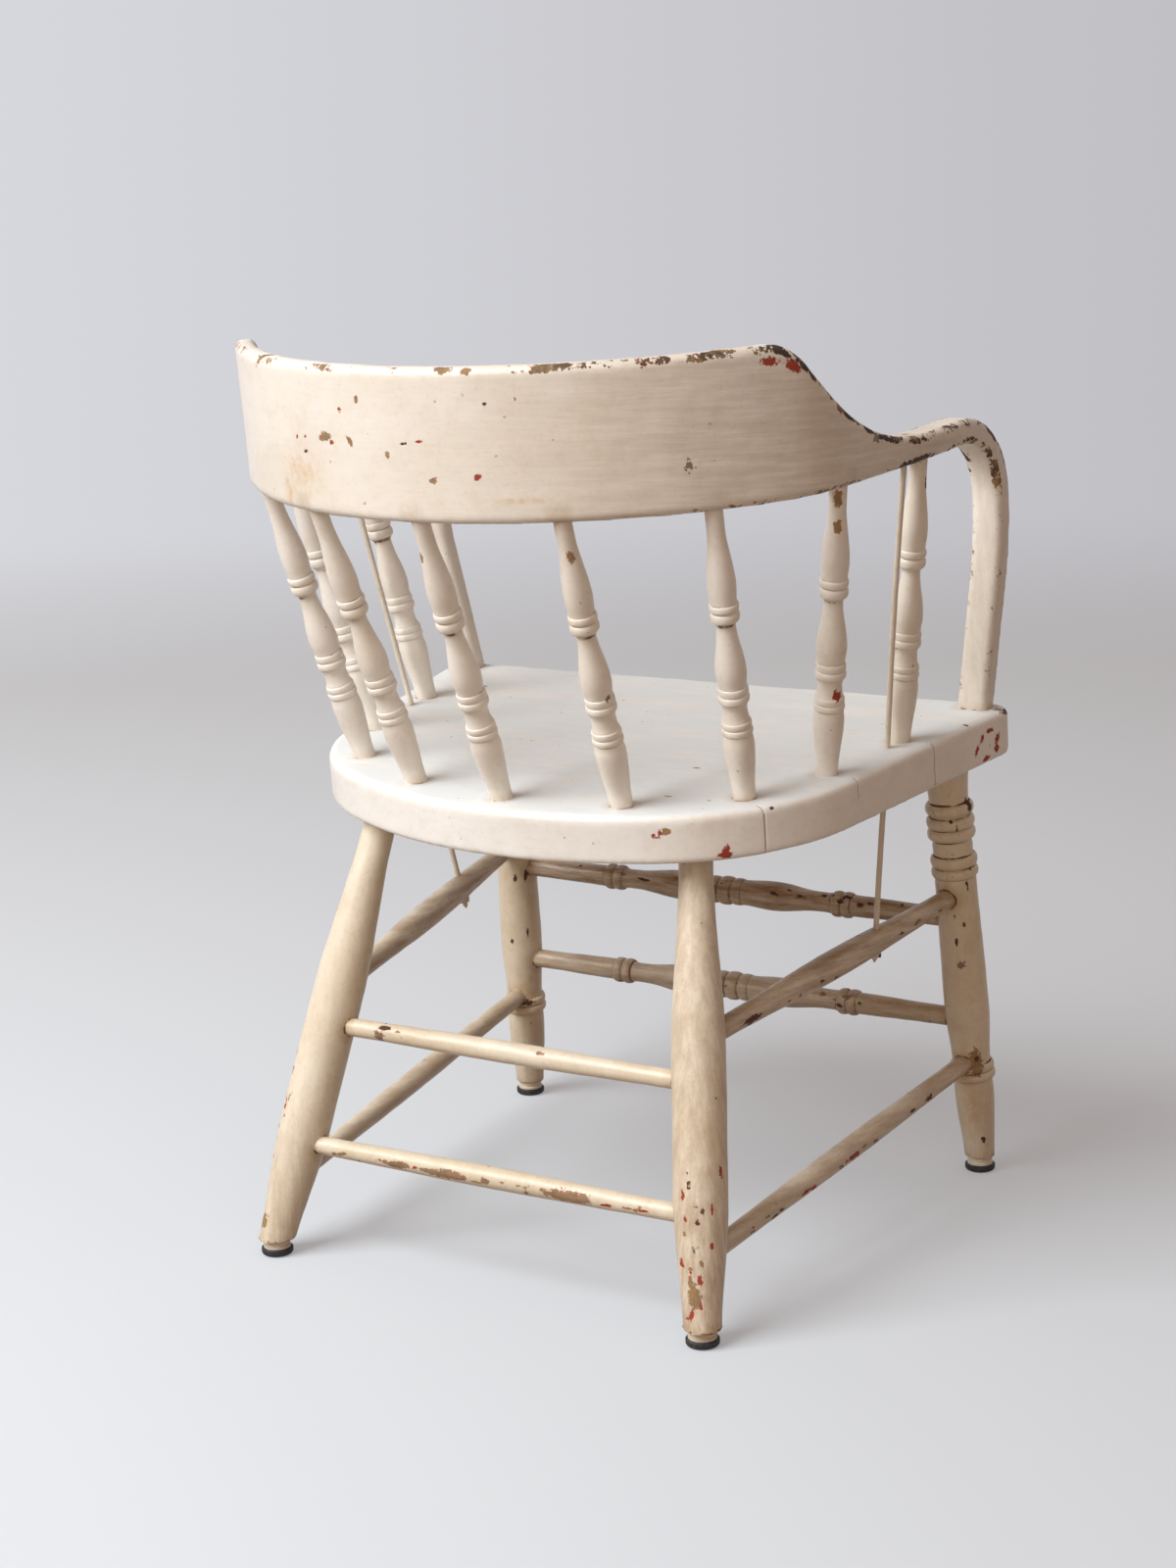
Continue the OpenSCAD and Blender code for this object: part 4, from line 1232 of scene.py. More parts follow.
@dataclass(frozen=True)
class Rubber:
    """Matt black rubber, greyed by the floor."""

    slot: str
    black: str = "1B1A19"
    scuffed: str = "4A4642"
    roughness: float = 0.62

    def material(self, effects: Effects) -> bpy.types.Material:
        """Writes the finish as a material."""
        material, g = new_material(self.slot)
        place = g.add("ShaderNodeTexCoord").outputs["Object"]
        scuffs = g.rise(g.noise(g.stretched(place, (1, 1, 0.4)), 240.0, 4.0, 0.7), 0.5, 0.75)
        dust = effects.specks.into(g, Vector=place, Scale=420.0, Size=0.25, Share=0.35)
        shade = g.most(g.times(scuffs, 0.7), g.times(dust.outputs["Mask"], 0.6))
        g.surface(g.mix(shade, colour(self.black), colour(self.scuffed)), self.roughness,
                  g.noise(place, 900.0, 2.0), 0.4, 0.2 * MM)
        return material


class PaintShop:
    """Makes each finish once and dresses pieces in it."""

    def __init__(self) -> None:
        """Makes the shared effects and the list of finishes."""
        effects = Effects()
        up, across, back = (10.0, 10.0, 1.0), (1.0, 10.0, 10.0), (1.0, 1.0, 10.0)
        finishes = (
            OldPaint("bow_paint", "EFE9DF", "E2D8C8", (1.0, 1.0, 14.0), 1.0, specks=0.2),
            OldPaint("seat_paint", "F5F3EE", "E8E3DB", across, 0.8, dust=0.9, specks=0.2),
            OldPaint("spindle_paint", "F5F0E8", "E8DFD0", up, 0.7, dirt_and_shade=0.6),
            OldPaint("leg_paint", "EADFCC", "D6C5A8", up, 0.8, dirt_and_shade=1.2),
            OldPaint("stretcher_paint", "E9DFCD", "D3C2A5", back, 0.8, dirt_and_shade=1.1, specks=0.3,
                     wood=("A88A69", "876A52")),
            OldPaint("rod_paint", "E8DFD1", "D3C7B3", up, dirt_and_shade=0.8),
            OldPaint("collar_paint", "E9E1D2", "CDBFA8", dirt_and_shade=0.45),
            Rubber("pad_rubber"),
        )
        self.materials = {f.slot: f.material(effects) for f in finishes}

    def dress(self, piece: Piece, slot: str) -> None:
        """Gives a piece its finish."""
        piece.data.materials.clear()
        piece.data.materials.append(self.materials[slot])


# ---- The sub-assemblies ----------------------------------------------------------


class SubAssembly:
    """A group of pieces that are made together.

    Attributes:
        pieces: Each finished piece, by the CAD node that it replaces.
    """

    slot = ""

    def __init__(self) -> None:
        """Starts with nothing made."""
        self.pieces: dict[str, Piece] = {}

    def build(self) -> None:
        """Makes the pieces."""
        raise NotImplementedError

    def slot_of(self, node: str) -> str:
        """The material slot of one piece."""
        return self.slot

    def soil_and_shade(self, node: str, points: np.ndarray) -> np.ndarray:
        """How dirty each point of a piece is, with painted shade on the pieces that sit in
        shade.
        """
        return np.full(len(points), SOIL_AND_SHADE.get(node, 0.04))

    def wear(self, points: np.ndarray) -> np.ndarray:
        """How hard each point's edges have been rubbed."""
        return np.full(len(points), 0.4)

    def keep(self, node: str, piece: Piece) -> None:
        """Names a finished piece and says which CAD node it stands for."""
        piece.name = f"{node}_shown"
        piece.data.name = piece.name
        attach(piece, "root")
        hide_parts(node)
        self.pieces[node] = piece
        LOG.info("made %s: %d faces", piece.name, len(piece.data.polygons))


@dataclass
class SeatSizes:
    """Sizes of the seat in its own frame.

    Attributes:
        thick: Thickness.
        half: Half of its width, level with the frame's middle.
        flare: How much narrower a side gets for each step forward.
        front: How far the front edge stands ahead of the middle.
        back: How far the back edge stands behind it.
        back_radius: Radius of the back edge.
        corner_radius: Radius of each rear corner.
        skew: How far the back's middle is off the chair's.
        front_radius: Radius of each front corner.
        joints: Place of the joints between the boards.
        arc_steps: Spans in the back, rear corner and front corner.
        top_round: Rounding of the top's edge.
        low_round: Rounding of the underside's edge.
        voxel: How finely the surface is worked.
        swell: Height and spread of the broad waves.
        grain: Height and spread of the fine waves.
        seam_depth: How far an open joint goes in.
        seam_gap: How far each board draws back from it.
        seam_from: Distance from the chair's middle at which the joints open.
        half_shut: The joint that opens only in its upper half.
        shut_below: How far down that is.
    """

    thick: float = 41 * MM
    half: float = 266 * MM
    flare: float = 0.16
    front: float = 205 * MM
    back: float = 212 * MM
    back_radius: float = 370 * MM
    corner_radius: float = 178 * MM
    skew: float = -18 * MM
    front_radius: float = 20 * MM
    joints: Row = (-72 * MM, 40 * MM, 134 * MM)
    arc_steps: tuple[int, int, int] = (44, 40, 12)
    top_round: float = 6 * MM
    low_round: float = 2 * MM
    voxel: float = 2.4 * MM
    swell: tuple[float, float] = (1.1 * MM, 70 * MM)
    grain: tuple[float, float] = (0.35 * MM, 12 * MM)
    seam_depth: float = 0.5 * MM
    seam_gap: float = 0.15 * MM
    seam_from: float = 100 * MM
    half_shut: float = 40 * MM
    shut_below: float = 20 * MM


class Seat(SubAssembly):
    """The seat of four glued boards."""

    slot = "seat_paint"
    sizes = SeatSizes()
    BOARDS = ("seat_board_front", "seat_board_middle_front", "seat_board_middle_rear",
              "seat_board_rear")

    def side(self, side: int) -> list[Vector]:
        """Half of the outline, from the middle of the back to the front.

        Args:
            side: 1 for the left half, -1 for the right half, drawn in the mirror.

        Returns:
            Points in the seat's own plane.
        """
        s = self.sizes
        tilt = math.atan(s.flare)
        along = Vector((math.sin(tilt), -math.cos(tilt)))
        inward = Vector((-math.cos(tilt), -math.sin(tilt)))
        edge = Vector((s.half, 0))
        back = Vector((side * s.skew, s.back - s.back_radius))
        q = edge + s.corner_radius * inward - back
        run = q.dot(along)
        u = -run - math.sqrt(run ** 2 - q.dot(q) + (s.back_radius - s.corner_radius) ** 2)
        corner = back + q + u * along
        turn = math.atan2(*(corner - back).yx)
        start = math.acos(-side * s.skew / s.back_radius)
        reach = (s.front - s.front_radius * (1 + math.sin(tilt))) / math.cos(tilt)
        front = edge + reach * along + s.front_radius * inward
        arcs = ((back, s.back_radius, start, turn), (corner, s.corner_radius, turn, tilt),
                (front, s.front_radius, tilt, -math.pi / 2))
        return [c + r * Vector((math.cos(a + (b - a) * i / n), math.sin(a + (b - a) * i / n)))
                for (c, r, a, b), n in zip(arcs, s.arc_steps) for i in range(n + 1)]

    def blank(self) -> Piece:
        """Saws the outline from one thick board and rounds its edges."""
        s = self.sizes
        left, right = self.side(1), self.side(-1)
        rim = left + [Vector((-p.x, p.y)) for p in reversed(right)]
        rim = [p for i, p in enumerate(rim) if (p - rim[i - 1]).length > 0.2 * MM]
        Bench.clear()
        bpy.ops.mesh.primitive_circle_add(vertices=len(rim), radius=s.half,
                                          fill_type="NGON")
        piece = Bench.added("seat_blank")
        bpy.ops.object.mode_set(mode="OBJECT")
        for vertex, p in zip(piece.data.vertices, rim):
            vertex.co = (p.x, p.y, 0)
        Bench.edit(piece)
        bpy.ops.mesh.extrude_region_move(TRANSFORM_OT_translate={"value": (0, 0, -s.thick)})
        Bench.close_up(piece)
        for top, width, segments in ((True, s.top_round, 4), (False, s.low_round, 2)):
            flat = [f.index for f in piece.data.polygons
                    if abs(f.normal.z) > 0.9 and (f.normal.z > 0) == top]
            Bench.select_faces(piece, flat)
            bpy.ops.mesh.region_to_loop()
            bpy.ops.mesh.bevel(offset=width, segments=segments, profile=0.5,
                               affect="EDGES")
            Bench.clear()
        return piece

    def build(self) -> None:
        """Makes the blank, works its surface and saws it into its boards."""
        s = self.sizes
        blank = self.blank()
        Bench.finish_with(blank, "REMESH", mode="VOXEL", voxel_size=s.voxel,
                          use_smooth_shade=True)
        Bench.finish_with(blank, "SMOOTH", factor=0.5, iterations=4)
        Bench.place(blank, Matrix.Translation(SEAT_ORIGIN)
                    @ Matrix.Rotation(-SEAT_FALL, 4, "X"))
        Bench.uneven(blank, *s.swell)
        Bench.uneven(blank, *s.grain)
        cuts = (-2 * s.front, *s.joints, 2 * s.back)
        for node, low, high in zip(self.BOARDS, cuts, cuts[1:]):
            board = Bench.copy(blank, node)
            for at, clear in ((low, {"clear_inner": True}), (high, {"clear_outer": True})):
                Bench.edit(board)
                bpy.ops.mesh.bisect(plane_co=from_seat(0, at, 0), plane_no=SEAT_BACKWARDS,
                                    use_fill=True, **clear)
                Bench.clear()
            Bench.close_up(board)
            Bench.smooth(board)
            self.open_seams(board, low, high)
            self.keep(node, board)
        bpy.data.objects.remove(blank)

    def open_seams(self, board: Piece, low: float, high: float) -> None:
        """Opens the glue joints at the seat's edge, where the paint has cracked.

        Args:
            board: One board in its place.
            low: Its front joint in the seat's frame.
            high: Its rear joint.
        """
        s = self.sizes
        seam = np.zeros(len(board.data.vertices))
        for v in board.data.vertices:
            at = (v.co - SEAT_ORIGIN).dot(SEAT_BACKWARDS)
            rise = (v.co - SEAT_ORIGIN).dot(SEAT_UP)
            on_joint = min(abs(at - low), abs(at - high)) <= 0.1 * MM
            shut = abs(at - s.half_shut) < MM and rise < -s.shut_below
            if on_joint and not shut and abs(v.co.x) >= s.seam_from and rise < -s.seam_depth:
                seam[v.index] = 1
                v.co -= Vector((math.copysign(s.seam_depth, v.co.x), 0, 0)) \
                    + SEAT_BACKWARDS * math.copysign(s.seam_gap, at - (low + high) / 2)
        Weathering.write(board, "seam", seam)


@dataclass
class BowSizes:
    """How the bow is worked, where it darkens with grime and painted shade, and where it is
    rubbed.

    Attributes:
        voxel: How finely the surface is worked.
        socket_reach: How far the wall of a bored hole may be from the one across it.
        merge: Distance within which points are one.
        swell: Height and spread of the broad waves.
        grain: Height and spread of the fine waves.
        post_from: Bearings between which the arm turns down into the post.
        post_below: Heights between which it does, in millimetres.
        clean: Soil of the cleanest part.
        soiled_and_shaded: More grime and painted shade, and the two bearings between which it
            comes on; the first row darkens the right side, turned from the key lamp, as painted
            shade.
        gentle: Wear of the least rubbed part.
        rubbed: More wear, and the two bearings between which it comes on.
    """

    voxel: float = 2.3 * MM
    socket_reach: float = 30 * MM
    merge: float = 5e-6
    swell: tuple[float, float] = (1.0 * MM, 60 * MM)
    grain: tuple[float, float] = (0.3 * MM, 12 * MM)
    post_from: tuple[float, float] = (108, 118)
    post_below: tuple[float, float] = (705, 690)
    clean: float = 0.04
    # darker towards the sitter's right: grime, and painted shade on the side turned from the
    # key lamp
    soiled_and_shaded: tuple[Row, ...] = ((0.21, -8, -46), (-0.1, -106, -114), (0.06, 104, 114))
    gentle: float = 0.46
    rubbed: tuple[Row, ...] = ((0.3, -14, -34), (0.3, -45, -55), (0.2, 55, 80))


class Bow(SubAssembly):
    """The bent back rail with its arms and posts, in one piece."""

    slot = "bow_paint"
    sizes = BowSizes()

    def hidden_faces(self, piece: Piece) -> list[int]:
        """Faces inside a bored hole: their own normal soon meets the piece again."""
        tree = Bench.surface(piece)
        lift = 0.02 * MM
        return [f.index for f in piece.data.polygons
                if tree.ray_cast(f.center + f.normal * lift, f.normal,
                                 self.sizes.socket_reach)[0] is not None]

    def packed_shape(self) -> Piece:
        """Copies the CAD shape and joins up its faces."""
        piece = Bench.copy(frame["nodes"]["bow"], "bow_work")
        Bench.close_up(piece, self.sizes.merge)
        return piece

    def filled(self) -> Piece:
        """The CAD shape with its bored holes filled, or as it is where that fails."""
        piece = self.packed_shape()
        Bench.select_faces(piece, self.hidden_faces(piece))
        bpy.ops.mesh.delete(type="FACE")
        self.drop_islands(piece)
        Bench.edit(piece)
        bpy.ops.mesh.fill_holes(sides=0)
        Bench.close_up(piece, self.sizes.merge)
        if self.is_open(piece):
            Bench.edit(piece)
            bpy.ops.mesh.select_all(action="DESELECT")
            bpy.ops.mesh.select_non_manifold(extend=False, use_wire=False,
                                             use_multi_face=False,
                                             use_non_contiguous=False, use_verts=False)
            bpy.ops.mesh.fill(use_beauty=True)
            Bench.close_up(piece, self.sizes.merge)
        if self.is_open(piece):
            LOG.info("the bow keeps its bored holes")
            bpy.data.objects.remove(piece)
            piece = self.packed_shape()
        return piece

    def build(self) -> None:
        """Fills the bored holes of the CAD shape and works it smooth."""
        s = self.sizes
        piece = self.filled()
        Bench.finish_with(piece, "REMESH", mode="VOXEL", voxel_size=s.voxel,
                          use_smooth_shade=True)
        Bench.finish_with(piece, "SMOOTH", factor=0.5, iterations=7)
        Bench.uneven(piece, *s.swell)
        Bench.uneven(piece, *s.grain)
        Bench.smooth(piece)
        points = Weathering.points(piece)
        Weathering.write(piece, "upright", ramp(np.abs(self.bearings(points)), *s.post_from)
                         * ramp(points[:, 2] / MM, *s.post_below))
        self.keep("bow", piece)

    @staticmethod
    def is_open(piece: Piece) -> bool:
        """Says whether any edge has a face on one side only."""
        uses = Counter(key for f in piece.data.polygons for key in f.edge_keys)
        return any(count == 1 for count in uses.values())

    @staticmethod
    def bearings(points: np.ndarray) -> np.ndarray:
        """Bearing of each point round the chair, as for the placed chips."""
        return np.degrees(np.arctan2(points[:, 0], points[:, 1]))

    def soil_and_shade(self, node: str, points: np.ndarray) -> np.ndarray:
        """The rail's right half and the right arm are darker: grime, and painted shade on the
        side turned away from the key lamp.
        """
        bearing = self.bearings(points)
        return self.sizes.clean + sum(share * ramp(bearing, start, end)
                                      for share, start, end in self.sizes.soiled_and_shaded)

    def wear(self, points: np.ndarray) -> np.ndarray:
        """The crest's right half and the right arm are rubbed hardest."""
        bearing = self.bearings(points)
        height = points[:, 2] / MM
        hard = self.sizes.gentle + sum(share * ramp(bearing, start, end)
                                       for share, start, end in self.sizes.rubbed)
        high = ramp(height, 640, 700) * (np.abs(bearing) > 90)
        return hard * (0.45 + 0.55 * np.maximum(ramp(height, 690, 705), high))

    @staticmethod
    def drop_islands(piece: Piece) -> None:
        """Deletes every part that is not joined to the largest one."""
        Bench.clear()
        mesh = piece.data
        start = max(mesh.polygons, key=lambda f: f.area).index
        Bench.select_faces(piece, [start])
        bpy.ops.mesh.select_linked()
        bpy.ops.mesh.select_all(action="INVERT")
        bpy.ops.mesh.delete(type="FACE")
        Bench.clear()


@dataclass
class SpindleSizes:
    """Sizes of a turned spindle.

    Attributes:
        foot: Half diameter of its lower end.
        top: Half diameter of its upper end.
        bulge: Half diameter where it is thickest.
        foot_depth: How far it goes into the seat.
        top_depth: How far it goes into the rail.
        cuts: The turning, in shares of the length between them and of the bulge.
        uneven: Height and spread of the hand work's waves.
    """

    foot: float = 9.5 * MM
    top: float = 7.3 * MM
    bulge: float = 13 * MM
    foot_depth: float = 22 * MM
    top_depth: float = 12 * MM
    cuts: tuple[tuple, ...] = (
        (EASE, 0.2, 1.0), (EASE, 0.234, 0.93), (LINE, 0.2352, 0.88),
        (BEAD, 0.2475, 0.012, 0.88, 1.0), (BEAD, 0.2715, 0.0118, 0.88, 0.965),
        (EASE, 0.3, 0.8), (EASE, 0.328, 0.775), (EASE, 0.348, 0.86),
        (BEAD, 0.362, 0.0135, 0.88, 1.0), (BEAD, 0.389, 0.013, 0.88, 0.965),
        (EASE, 0.45, 0.975), (EASE, 0.617, 0.6), (BEAD, 0.645, 0.0165, 0.76, 0.92),
        (BEAD, 0.677, 0.0125, 0.82, 0.92), (EASE, 0.745, 0.89))
    uneven: tuple[float, float] = (0.45 * MM, 14 * MM)


class Spindles(SubAssembly):
    """The nine turned spindles between the seat and the rail."""

    slot = "spindle_paint"
    sizes = SpindleSizes()
    COUNT = 9

    def outline(self, bare: float) -> Outline:
        """Outline of a spindle whose bare length is given."""
        s = self.sizes
        o = Outline(-s.foot_depth, s.foot).line(0.01 * bare, s.foot)
        o.follow(s.cuts, unit=(bare, s.bulge)).ease(0.94 * bare, s.top)
        return o.line(bare + s.top_depth, s.top).end()

    def build(self) -> None:
        """Turns one spindle, then copies it and draws each copy out to its length."""
        s = self.sizes
        ends = s.foot_depth + s.top_depth
        axes = {f"spindle_{n}": Axis.of(f"spindle_{n}") for n in range(1, self.COUNT + 1)}
        usual = sum(a.length for a in axes.values()) / len(axes)
        pattern = self.outline(usual - ends).turned("spindle_pattern", 44)
        for number, (node, axis) in enumerate(axes.items()):
            spindle = Bench.copy(pattern, node)
            bare = (axis.length - ends) / (usual - ends)
            Bench.place(spindle, axis.matrix @ Matrix.Translation((0, 0, s.foot_depth))
                        @ Matrix.Rotation(0.7 * number, 4, "Z")
                        @ Matrix.Diagonal((1, 1, bare, 1)))
            Bench.uneven(spindle, *s.uneven)
            Bench.smooth(spindle, 50)
            self.keep(node, spindle)
        bpy.data.objects.remove(pattern)


@dataclass
class LegSizes:
    """Sizes of the legs.

    Attributes:
        depth: How far a leg goes into the seat.
        foot_level: Height of the sawn foot above the floor.
        rear: Half diameter of a rear leg where it is thickest.
        rear_top: Half diameter of its top.
        rear_foot: Half diameter of its foot.
        rear_levels: Where it is full, starts to taper and reaches the top's size.
        front: Half diameter of a front leg.
        front_foot: Half diameter of its foot.
        tenon: Half diameter of its top, inside the seat.
        front_low: Its cuts, counted from the foot and its half diameter, in millimetres.
        front_high: Its cuts, counted from the seat.
        foot_round: Rounding of the sawn foot.
        dirty_below: Height below which a leg is dirtier.
        floor_dirt: How much dirtier it is at the floor.
        uneven: Height and spread of the hand work's waves.
    """

    depth: float = 28 * MM
    foot_level: float = 14 * MM
    rear: float = 22.5 * MM
    rear_top: float = 14.2 * MM
    rear_foot: float = 16.5 * MM
    rear_levels: Row = (105 * MM, 175 * MM, 12 * MM)
    front: float = 20.5 * MM
    front_foot: float = 14.5 * MM
    tenon: float = 13 * MM
    front_low: tuple[tuple, ...] = (
        (EASE, 68, -2.5), (EASE, 80, -3), (BEAD, 84.5, 4.4, -3, 0.5),
        (BEAD, 93, 3.9, -3, 0), (EASE, 150, 0))
    front_high: tuple[tuple, ...] = (
        (EASE, -125, -1.5), (LINE, -122.2, -1.8, 1.5), (BEAD, -117, 4.9, -2.6, 1),
        (BEAD, -106, 5.4, -2.6, 1), (EASE, -92, -2.2), (EASE, -86, -3),
        (BEAD, -80, 5.4, -2.6, 1.5), (BEAD, -69, 5.4, -2.6, 1.5), (EASE, -62, -2.6),
        (BEAD, -56, 5.4, -2.6, 1.5), (EASE, -4, 0.5), (LINE, -0.4, 0.3))
    foot_round: float = 1.6 * MM
    dirty_below: float = 150 * MM
    floor_dirt: float = 0.3
    uneven: tuple[float, float] = (0.7 * MM, 22 * MM)


class Legs(SubAssembly):
    """Two plain rear legs and two ringed front legs."""

    slot = "leg_paint"
    sizes = LegSizes()

    def rear_outline(self, h: float) -> Outline:
        """Outline of a rear leg from its foot to a seat at height h."""
        s = self.sizes
        full, taper, neck = s.rear_levels
        o = Outline(-s.foot_level, s.rear_foot - MM).ease(full, s.rear)
        o.line(h - taper, s.rear).ease(h - neck, s.rear_top)
        return o.line(h + s.depth, s.rear_top).end()

    def front_outline(self, h: float) -> Outline:
        """Outline of a front leg from its foot to a seat at height h."""
        s = self.sizes
        o = Outline(-s.foot_level, s.front_foot - MM).follow(s.front_low, 0.0, s.front)
        o.follow(s.front_high, h, s.front).line(o.points[-1][0], s.tenon)
        return o.line(h + s.depth, s.tenon).end()

    def soil_and_shade(self, node: str, points: np.ndarray) -> np.ndarray:
        """Every leg is dirtiest near the floor, where feet and mops have met it."""
        low = np.clip(1 - points[:, 2] / self.sizes.dirty_below, 0, 1)
        return super().soil_and_shade(node, points) + self.sizes.floor_dirt * low

    def build(self) -> None:
        """Turns one leg of each kind, copies it for the other side and saws the feet."""
        s = self.sizes
        for row, outline in (("rear", self.rear_outline), ("front", self.front_outline)):
            axes = {side: Axis.of(f"leg_{row}_{side}", level_foot=True)
                    for side in ("right", "left")}
            length = axes["right"].length
            pattern = outline(length - s.depth).turned(f"leg_{row}_pattern", 56)
            for side, axis in axes.items():
                node = f"leg_{row}_{side}"
                leg = Bench.copy(pattern, node)
                Bench.place(leg, axis.matrix)
                Bench.uneven(leg, *s.uneven)
                Bench.edit(leg)
                bpy.ops.mesh.bisect(plane_co=(0, 0, s.foot_level), plane_no=(0, 0, 1),
                                    use_fill=True, clear_inner=True)
                Bench.close_up(leg)
                self.soften_foot(leg)
                Bench.smooth(leg, 50)
                self.keep(node, leg)
            bpy.data.objects.remove(pattern)

    def soften_foot(self, leg: Piece) -> None:
        """Rounds the sawn edge of a foot."""
        sole = [f.index for f in leg.data.polygons
                if f.normal.z < -0.9 and f.center.z < self.sizes.foot_level + MM]
        Bench.select_faces(leg, sole)
        bpy.ops.mesh.region_to_loop()
        bpy.ops.mesh.bevel(offset=self.sizes.foot_round, segments=3, profile=0.5,
                           affect="EDGES")
        Bench.clear()


@dataclass
class StretcherSizes:
    """Sizes of the stretchers.

    Attributes:
        stop: How far each end stops short of its socket's.
        rear: Half diameters of a rear stretcher, at the ends and in the middle.
        side_lower: The same of a lower side stretcher.
        side_upper: The same of an upper side stretcher.
        front: The same of a front stretcher.
        grip: Length of each straight end.
        front_grip: The same on a front stretcher.
        bead_at: Distance of a front stretcher's outer beads from its middle.
        outer: Its cuts round those beads, counted from them and the end's half diameter.
        inner: Its cuts towards the middle, counted from the middle.
        uneven: Height and spread of the hand work's waves.
    """

    stop: float = 2 * MM
    rear: tuple[float, float] = (8 * MM, 9.5 * MM)
    side_lower: tuple[float, float] = (8.5 * MM, 10 * MM)
    side_upper: tuple[float, float] = (9 * MM, 12.5 * MM)
    front: tuple[float, float] = (9 * MM, 14 * MM)
    grip: float = 28.5 * MM
    front_grip: float = 28 * MM
    bead_at: float = 122 * MM
    outer: tuple[tuple, ...] = (
        (EASE, -12, 1.2), (BEAD, -6, 4.9, 0.9, 3.5), (BEAD, 4, 4.9, 0.9, 3.5),
        (EASE, 16, 0.3), (LINE, 22, 0.4))
    inner: tuple[tuple, ...] = ((EASE, -50, 5), (EASE, -19, 3.2), (BEAD, -13, 5.4, 2.2, 4.2))
    uneven: tuple[float, float] = (0.6 * MM, 20 * MM)


class Stretchers(SubAssembly):
    """The eight stretchers between the legs."""

    slot = "stretcher_paint"
    sizes = StretcherSizes()

    def plain_outline(self, span: float, sizes: tuple[float, float]) -> Outline:
        """Outline of a stretcher that swells gently towards the middle."""
        s = self.sizes
        o = Outline(s.stop, sizes[0]).line(s.grip, sizes[0])
        o.ease(span / 2, sizes[1], 4 * MM).ease(span - s.grip, sizes[0], 4 * MM)
        return o.line(span - s.stop, sizes[0]).end()

    def front_outline(self, span: float) -> Outline:
        """Outline of a front stretcher with its swellings and beads."""
        s = self.sizes
        end, crest = s.front
        middle = span / 2
        o = Outline(s.stop, end).line(s.stop + s.front_grip, end)
        o.follow(s.outer, middle - s.bead_at, end).follow(s.inner, middle, end)
        whole = Outline(middle, end).bead(middle, 6.4 * MM, end + 2.2 * MM, crest, 10)
        o.points += whole.points[2:7]
        return o.mirrored(middle)

    def turn(self, node: str) -> Piece:
        """Turns the stretcher of one node on the Z axis."""
        span = Axis.of(node).length + 2 * self.sizes.stop
        if "front" in node:
            return self.front_outline(span).turned(node, 44)
        sizes = (self.sizes.rear if "rear" in node else
                 self.sizes.side_lower if "lower" in node else self.sizes.side_upper)
        return self.plain_outline(span, sizes).turned(node, 40)

    def build(self) -> None:
        """Makes the four levels across and the four at the sides."""
        s = self.sizes
        for level in ("lower", "upper"):
            side_pattern = None
            for row in ("front", "rear", "right", "left"):
                node = f"stretcher_{row}_{level}"
                if row == "left":
                    piece = Bench.copy(side_pattern, node)
                else:
                    piece = self.turn(node)
                if row == "right":
                    side_pattern = Bench.copy(piece, "side_pattern")
                axis = Axis.of(node)
                Bench.place(piece, axis.matrix @ Matrix.Translation((0, 0, -s.stop)))
                Bench.uneven(piece, *s.uneven)
                Bench.smooth(piece, 50)
                self.keep(node, piece)
            bpy.data.objects.remove(side_pattern)


@dataclass
class RodSizes:
    """Sizes of the steel tie rods and their nuts."""

    radius: float = 2.5 * MM
    head: float = 5.5 * MM
    tip: float = 4 * MM
    bow: float = 1.6 * MM
    seat_at: float = 0.42
    nut: float = 10 * MM
    nut_turn: float = 33.0


